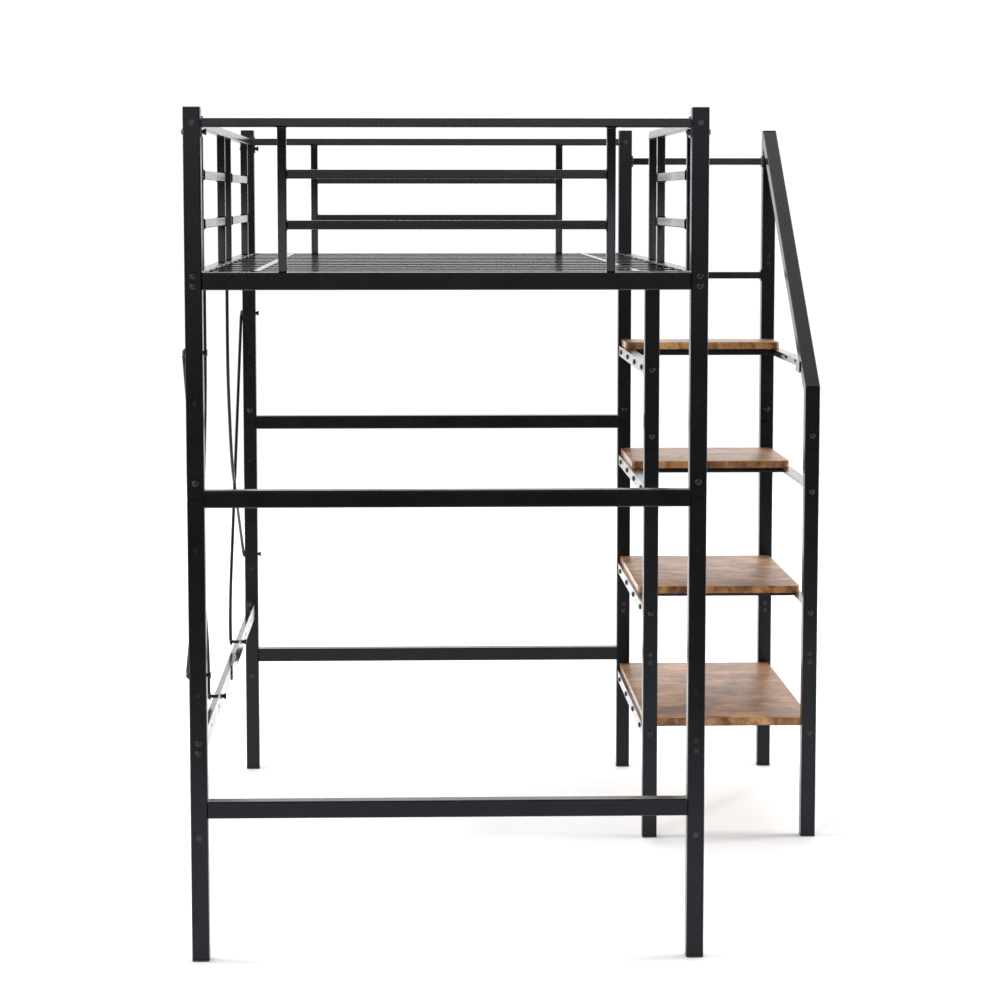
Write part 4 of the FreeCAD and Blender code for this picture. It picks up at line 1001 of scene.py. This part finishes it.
# ------------------------------------------------------------------ brace rods
@dataclass
class BraceRods:
    """Bent round rods on the left side, each with a flat eye at both ends, welded where two cross.

    A share is a part of the rod's reach from the post, or of its rise."""

    end: str
    rod: float = 8 * MM
    eye: float = 18 * MM
    eye_thick: float = 3 * MM
    eye_hole: float = 8.4 * MM
    rising_shares: tuple[tuple[float, float], ...] = ((0.0, 0.0), (0.80, 0.37), (1.0, 0.65), (1.0, 1.0))
    falling_shares: tuple[tuple[float, float], ...] = ((0.0, 1.0), (1.0, 0.13), (1.0, 0.0))
    rising_bend: float = 340 * MM
    falling_bend: float = 220 * MM
    ease: float = 0.5 * MM
    nub_reach: float = 0.85
    nub_height: float = 0.62
    pole: float = 0.06
    steps: int = 600

    def path(self, node: str, shares: tuple[tuple[float, float], ...], bend: float) -> np.ndarray:
        """The rod's middle line: straight runs joined by arcs that touch both.

        Each arc's middle is one radius from both runs, and its points turn about that middle from
        one run's end to the next run's start.

        Args:
            node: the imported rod.
            shares: its corners.
            bend: radius of its arcs.
        Returns:
            Points as (n, 2) of y and z, with the eyes' middles at both ends.
        """
        low, high = box_of(node)
        low, high = low[1:] + self.eye / 2, high[1:] - self.eye / 2
        post, far = (low[0], high[0]) if self.end == "foot" else (high[0], low[0])
        corners = np.array([[post + share * (far - post), low[1] + rise * (high[1] - low[1])]
                            for share, rise in shares])
        pieces, start = [], corners[0]
        for corner, after in zip(corners[1:-1], corners[2:]):
            into = (corner - start) / np.linalg.norm(corner - start)
            away = (after - corner) / np.linalg.norm(after - corner)
            turn = math.acos(float(np.clip(into @ away, -1.0, 1.0)))
            reach = bend * math.tan(turn / 2)
            middle = corner + (away - into) / np.linalg.norm(away - into) * bend / math.cos(turn / 2)
            first = corner - into * reach
            spoke = first - middle
            side = np.sign(into[0] * away[1] - into[1] * away[0])
            angle = side * np.linspace(0.0, turn, 14)[:, None]
            arc = middle + np.cos(angle) * spoke + np.sin(angle) * np.array([-spoke[1], spoke[0]])
            pieces.append(np.linspace(start, first, 6)[:-1])
            pieces.append(arc)
            start = arc[-1]
        pieces.append(np.linspace(start, corners[-1], 6)[1:])
        return np.concatenate(pieces)

    def crossing(self, first: np.ndarray, second: np.ndarray) -> np.ndarray:
        """Where two lines come nearest to each other, from even steps along both.

        Args:
            first: one line as (n, 2).
            second: the other line as (m, 2).
        Returns:
            The nearest point of the first line.
        """
        fine = [np.column_stack([np.interp(np.linspace(0, len(line) - 1, self.steps),
                                           np.arange(len(line)), line[:, k]) for k in (0, 1)])
                for line in (first, second)]
        gap = np.linalg.norm(fine[0][:, None] - fine[1][None], axis=-1)
        return fine[0][np.unravel_index(gap.argmin(), gap.shape)[0]]

    def eyelet(self, x: float, middle: np.ndarray) -> np.ndarray:
        """A flat ring: its section's outline, a rectangle with broken edges, turned about X.

        Args:
            x: the eye's face on the side of the bed's middle.
            middle: y and z of the hole's middle.
        Returns:
            A grid of rings.
        """
        outer, inner = self.eye / 2, self.eye_hole / 2
        ease = self.ease
        radius = np.array([inner, inner + ease, outer - ease, outer, outer, outer - ease,
                           inner + ease, inner, inner])
        depth = np.array([ease, 0.0, 0.0, ease, self.eye_thick - ease, self.eye_thick,
                          self.eye_thick, self.eye_thick - ease, ease])
        base = np.array([x - self.eye_thick, middle[0], middle[1]])
        return turned(Axis.X, 1.0, base, radius, depth)

    def nub(self, x: float, middle: np.ndarray) -> np.ndarray:
        """A weld nub: a flattened ball, left open by a hair at both poles and closed flat there.

        Args:
            x: place of the rods' middle line across the bed.
            middle: y and z of the crossing.
        Returns:
            A grid of rings.
        """
        turn = np.linspace(self.pole, math.pi - self.pole, 9)
        reach, height = self.nub_reach * self.rod, self.nub_height * self.rod
        return turned(Axis.X, 1.0, np.array([x, middle[0], middle[1]]), reach * np.sin(turn),
                      -height * np.cos(turn), around=16)

    def build(self, finishes: Finishes) -> None:
        """Skin both rods of one end of the bed, and the weld where they meet."""
        rising, falling = self.end + "_rising_rod", self.end + "_falling_rod"
        x_post = box_of(rising)[1][0]
        x_rod = x_post - self.rod / 2
        lines: dict[str, np.ndarray] = {}
        skins: dict[str, Skin] = {}
        for node, shares, bend in ((rising, self.rising_shares, self.rising_bend),
                                   (falling, self.falling_shares, self.falling_bend)):
            line = self.path(node, shares, bend)
            lines[node] = line
            ends = line[[0, -1]]
            inner = line.copy()
            trim = self.eye / 2 - self.ease
            inner[0] += (line[1] - line[0]) / np.linalg.norm(line[1] - line[0]) * trim
            inner[-1] += (line[-2] - line[-1]) / np.linalg.norm(line[-2] - line[-1]) * trim
            skin = Skin()
            skin.sweep(round_rod(np.column_stack([np.full(len(inner), x_rod), inner]), self.rod / 2))
            for middle in ends:
                skin.sweep(self.eyelet(x_post, middle), False, False)
            skins[node] = skin
        skins[rising].sweep(self.nub(x_rod, self.crossing(lines[rising], lines[falling])))
        for node, skin in skins.items():
            skin.finish(node + "_bar", [node], "rod_black", [finishes.rod])


# ------------------------------------------------------------------ fasteners
@dataclass
class Fasteners:
    """Bolts, domed nuts, hole plugs and screws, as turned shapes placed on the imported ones."""

    shank: float = 4.0 * MM
    head: float = 7.0 * MM
    head_height: float = 4.0 * MM
    socket: float = 2.4 * MM
    rim: float = 0.5 * MM
    dome_end: float = 1.25
    nut_dome: tuple[float, float] = (0.1, 1.45)
    plug_stand: float = 2.0 * MM
    screw_head: float = 2.0 * MM
    screw_shank: float = 2.2 * MM
    screw_point: float = 0.3 * MM

    def bolts(self, finishes: Finishes) -> None:
        """Button heads: a dome that rises as an ellipse, and a hexagon socket let into it."""
        skin = Skin()
        turn = np.linspace(0.0, self.dome_end, 7)
        dome_radius = self.head * np.cos(turn)
        dome_height = self.rim + (self.head_height - self.rim) * np.sin(turn) / math.sin(self.dome_end)
        for solid in solids_of("frame_bolts"):
            size = solid.high - solid.low
            axis = Axis(int(np.abs(size - 2 * self.head).argmax()))
            sense = solid.wide_end(axis)
            whole = float(size[axis.value])
            length = whole - self.head_height
            base = (solid.low + solid.high) / 2
            base[axis.value] += sense * (whole / 2 - self.head_height)
            tip = -length
            radius = np.concatenate([[0.25 * self.shank, self.shank * 0.85, self.shank, self.shank,
                                      self.head * 0.96, self.head], dome_radius[1:],
                                     [self.socket * 1.12, self.socket * 1.02, self.socket * 0.98,
                                      0.2 * self.socket]])
            height = np.concatenate([[tip, tip, tip + 0.8 * MM, 0.0, 0.0, self.rim], dome_height[1:],
                                     [self.head_height - 0.05 * MM, self.head_height - 0.35 * MM,
                                      0.42 * self.head_height, 0.36 * self.head_height]])
            facets = np.concatenate([np.zeros(6 + len(turn) - 1), [0.6, 1.0, 1.0, 1.0]])
            skin.sweep(turned(axis, sense, base, radius, height, facets))
        skin.finish("button_bolts", ["frame_bolts"], "fastener_black", [finishes.fastener], 35.0)

    def nuts(self, finishes: Finishes) -> None:
        """Domed nuts: a hexagon with a washer edge, and a half ball on it."""
        skin = Skin()
        turn = np.linspace(*self.nut_dome, 6)
        for solid in solids_of("cap_nuts"):
            size = solid.high - solid.low
            axis = Axis(int(size.argmin()))
            sense = -solid.wide_end(axis)
            height, reach = float(size.min()), float(size.max()) / 2
            base = (solid.low + solid.high) / 2
            base[axis.value] -= sense * height / 2
            flat = reach * math.cos(math.pi / 6)
            dome = 0.82 * flat
            radius = np.concatenate([[reach, reach, flat, flat, flat * 0.93], dome * np.cos(turn)])
            level = np.concatenate([[0.0, 0.08, 0.10, 0.42, 0.50],
                                    0.50 + 0.50 * np.sin(turn) / math.sin(self.nut_dome[1])]) * height
            facets = np.concatenate([[0.0, 0.0, 1.0, 1.0, 0.6], np.zeros(len(turn))])
            skin.sweep(turned(axis, sense, base, radius, level, facets))
        skin.finish("domed_nuts", ["cap_nuts"], "fastener_black", [finishes.fastener], 35.0)

    def plugs(self, finishes: Finishes) -> None:
        """Hole plugs: a low round rim with a shallow dish in it."""
        skin = Skin()
        for solid in solids_of("hole_plugs"):
            axis = Axis.Y
            sense = solid.wide_end(axis)
            size = solid.high - solid.low
            reach = float(size[0]) / 2
            base = (solid.low + solid.high) / 2
            base[axis.value] += sense * (size[1] / 2 - self.plug_stand)
            radius = np.array([0.7, 0.7, 1.0, 0.985, 0.90, 0.72, 0.50, 0.40, 0.30, 0.05]) * reach
            level = np.array([-0.7, 0.0, 0.0, 0.42, 0.78, 0.98, 1.0, 0.85, 0.60,
                              0.58]) * self.plug_stand
            skin.sweep(turned(axis, sense, base, radius, level))
        skin.finish("hole_plug_domes", ["hole_plugs"], "plug_plastic", [finishes.plug], 50.0)

    def screws(self, finishes: Finishes) -> None:
        """Pan heads with a small recess, and a plain shank with a blunt tip."""
        for node in ("slat_screws", "board_screws"):
            skin = Skin()
            for solid in solids_of(node):
                axis = Axis.Z
                sense = solid.wide_end(axis)
                size = solid.high - solid.low
                reach, length = float(size[0]) / 2, float(size[2])
                head, thin = self.screw_head, self.screw_shank
                base = (solid.low + solid.high) / 2
                base[2] += sense * (length / 2 - head)
                tip = head - length
                radius = np.array([self.screw_point, thin, thin, reach, reach, 0.86 * reach, 0.5 * reach,
                                   0.36 * reach, 0.30 * reach, 0.06 * reach])
                level = np.array([tip, tip + 2.0 * MM, 0.0, 0.0, 0.35 * head, 0.85 * head, head,
                                  0.96 * head, 0.5 * head, 0.45 * head])
                skin.sweep(turned(axis, sense, base, radius, level, around=20))
            skin.finish(node + "_turned", [node], "screw_black", [finishes.screw], 45.0)

    def build(self, finishes: Finishes) -> None:
        """Make every kind of fastener."""
        self.bolts(finishes)
        self.nuts(finishes)
        self.plugs(finishes)
        self.screws(finishes)


@dataclass(frozen=True)
class KeptNodes:
    """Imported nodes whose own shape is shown, and the finish that each takes."""

    angles: tuple[str, ...] = ("step_angles_1", "step_angles_2", "step_angles_3", "step_angles_4",
                               "left_low_rail_foot", "left_low_rail_head", "low_rail_splice",
                               "guard_brackets")
    straps: tuple[str, ...] = ("deck_straps",)
    splices: tuple[str, ...] = ("post_sleeves", "deck_rail_splices", "guard_splice")

    def dress(self, finishes: Finishes) -> None:
        """Give each kept node its finish."""
        for names, finish in ((self.angles, finishes.angle), (self.straps, finishes.deck),
                              (self.splices, finishes.rail)):
            for name in names:
                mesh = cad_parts[name].data
                mesh.materials.clear()
                mesh.materials.append(finish)
                LOG.info("%s keeps its own shape", name)


# ------------------------------------------------------------------ room and view
@dataclass(frozen=True)
class Softbox:
    """A square area light aimed at a point."""

    name: str
    place: tuple[float, float, float]
    target: tuple[float, float, float]
    size: float
    power: float

    def hang(self) -> None:
        """Put the light up and turn it to its target."""
        light = bpy.data.lights.new(self.name, "AREA")
        light.shape = "SQUARE"
        light.size = self.size
        light.energy = self.power
        lamp = bpy.data.objects.new(self.name, light)
        bpy.context.scene.collection.objects.link(lamp)
        lamp.location = self.place
        aim = np.array(self.target) - np.array(self.place)
        flat = math.hypot(aim[0], aim[1])
        lamp.rotation_euler = (math.atan2(flat, -aim[2]), 0.0, math.atan2(-aim[0], aim[1]))


@dataclass(frozen=True)
class Studio:
    """A white room: a broad pale floor, soft even light and a few softboxes."""

    floor_low: tuple[float, float] = (-7.0, -3.2)
    floor_high: tuple[float, float] = (7.0, 9.0)
    floor_gap: float = 0.2 * MM
    bright_side: tuple[float, float, float] = (0.0, 0.97, 0.25)
    light_level: float = 1.25
    dim_level: float = 0.10
    fade: tuple[float, float] = (0.1, 0.6)
    backdrop_level: float = 1.05
    lights: tuple[Softbox, ...] = (
        Softbox("key_left", (-3.4, -6.2, 3.6), (-0.2, 0.0, 0.9), 0.7, 150.0),
        Softbox("front_wall", (0.0, -12.0, 4.8), (0.0, 0.0, 4.8), 6.4, 170.0),
        Softbox("left_wing", (-7.0, 0.5, 3.2), (-0.5, 0.5, 0.0), 3.5, 480.0),
        Softbox("right_wing", (7.0, 0.5, 3.2), (0.5, 0.5, 0.0), 3.5, 480.0),
        Softbox("back_top", (0.0, 6.5, 5.5), (0.0, 6.0, 0.0), 6.0, 420.0),
    )

    def lay_floor(self) -> None:
        """Make the floor, a hair under the lowest foot."""
        mesh = bpy.data.meshes.new("studio_floor")
        level = float(CAD_BOX[0][2]) - self.floor_gap
        (west, south), (east, north) = self.floor_low, self.floor_high
        mesh.from_pydata([(west, south, level), (east, south, level), (east, north, level),
                          (west, north, level)], [], [(0, 1, 2, 3)])
        nodes = Nodes("studio_floor_paint")
        cloud = nodes.noise(nodes.place(), 0.6, 3.0)
        nodes.link(nodes.ramp(cloud, [(0.3, (0.90, 0.90, 0.90)), (0.7, (0.93, 0.93, 0.93))]),
                   nodes.shader.inputs["Base Color"])
        nodes.shader.inputs["Roughness"].default_value = 0.9
        nodes.shader.inputs["Specular IOR Level"].default_value = 0.0
        mesh.materials.append(nodes.material)
        floor = bpy.data.objects.new("studio_floor", mesh)
        bpy.context.scene.collection.objects.link(floor)

    def glow(self, tree: bpy.types.NodeTree) -> bpy.types.ShaderNode:
        """A plain white glow of the surroundings.

        Args:
            tree: the world's nodes.
        Returns:
            The new background node.
        """
        node = tree.nodes.new("ShaderNodeBackground")
        node.inputs["Color"].default_value = (1.0, 1.0, 1.0, 1.0)
        return node

    def surround(self) -> None:
        """Make the world: light that grows towards one side, behind a plain white backdrop.

        The light's strength follows the cosine between a direction and the bright side."""
        world = bpy.data.worlds.new("white_room")
        bpy.context.scene.world = world
        world.use_nodes = True
        tree = world.node_tree
        tree.nodes.clear()
        direction = tree.nodes.new("ShaderNodeTexCoord")
        cosine = tree.nodes.new("ShaderNodeVectorMath")
        cosine.operation = "DOT_PRODUCT"
        cosine.inputs[1].default_value = self.bright_side
        level = tree.nodes.new("ShaderNodeMapRange")
        level.inputs["From Min"].default_value, level.inputs["From Max"].default_value = self.fade
        level.inputs["To Min"].default_value = self.dim_level
        level.inputs["To Max"].default_value = self.light_level
        light = self.glow(tree)
        backdrop = self.glow(tree)
        backdrop.inputs["Strength"].default_value = self.backdrop_level
        path = tree.nodes.new("ShaderNodeLightPath")
        either = tree.nodes.new("ShaderNodeMixShader")
        output = tree.nodes.new("ShaderNodeOutputWorld")
        for source, target in (
                (direction.outputs["Generated"], cosine.inputs[0]),
                (cosine.outputs["Value"], level.inputs["Value"]),
                (level.outputs["Result"], light.inputs["Strength"]),
                (path.outputs["Is Camera Ray"], either.inputs[0]),
                (light.outputs["Background"], either.inputs[1]),
                (backdrop.outputs["Background"], either.inputs[2]),
                (either.outputs["Shader"], output.inputs["Surface"])):
            tree.links.new(source, target)

    def build(self) -> None:
        """Make the floor, the surrounding light and the softboxes."""
        self.lay_floor()
        self.surround()
        for light in self.lights:
            light.hang()
        bpy.context.scene.view_settings.view_transform = "Standard"


@dataclass(frozen=True)
class View:
    """The camera: just outside the foot end, a little left of the middle, looking slightly down."""

    place: tuple[float, float, float] = (-0.2654, -6.5955, 1.5410)
    turn: float = -0.03241
    dip: float = 0.10670
    lens: float = 101.49
    sensor: float = 36.0

    def build(self) -> None:
        """Make the camera and hand it to the scene."""
        data = bpy.data.cameras.new("view")
        data.lens = self.lens
        data.sensor_width = self.sensor
        data.clip_start = 0.05
        data.clip_end = 200.0
        camera = bpy.data.objects.new("view", data)
        bpy.context.scene.collection.objects.link(camera)
        camera.location = self.place
        camera.rotation_euler = (math.pi / 2 - self.dip, 0.0, self.turn)
        bpy.context.scene.camera = camera


def main() -> None:
    """Build the room, the view and every piece of the bed, in order."""
    logging.basicConfig(level=logging.INFO, format="%(name)s: %(message)s")
    View().build()
    Studio().build()
    finishes = Finishes()
    corners = [f"{corner}_{part}_post" for corner in ("foot_left", "foot_right", "head_left",
                                                      "head_right") for part in ("lower", "upper")]
    Posts((*corners, "stair_inner_lower_post", "stair_inner_upper_post", "stair_outer_lower_post",
           "stair_back_lower_post", "stair_back_upper_post")).build(finishes)
    Crossbars(("foot_deck_rail", "head_deck_rail", "foot_mid_crossbar", "head_mid_crossbar",
               "foot_low_crossbar", "head_low_crossbar"), Axis.X, "rail_black").build(finishes.rail)
    DeckRails(tuple(f"{side}_deck_rail_{end}" for side in ("left", "right")
                    for end in ("foot", "head"))).build(finishes)
    for guard in (Guard("foot_guard", Axis.X, (END_INSET, -END_INSET)),
                  Guard("head_guard", Axis.X, (END_INSET, -END_INSET)),
                  Guard("left_guard_foot", Axis.Y, (SIDE_INSET, -SIDE_MIDDLE)),
                  Guard("left_guard_head", Axis.Y, (SIDE_MIDDLE, -SIDE_INSET)),
                  Guard("right_guard", Axis.Y, (SIDE_INSET, -STAIR_OPENING, 0.0))):
        guard.build(finishes)
    Handrail().build(finishes)
    PostEnds().build(finishes)
    Slats().build(finishes)
    for level in (1, 2, 3, 4):
        StepBoard(f"step_board_{level}").build(finishes)
    StairBars().build(finishes)
    for end in ("foot", "head"):
        BraceRods(end).build(finishes)
    Fasteners().build(finishes)
    KeptNodes().dress(finishes)


if __name__ == "__main__":
    main()
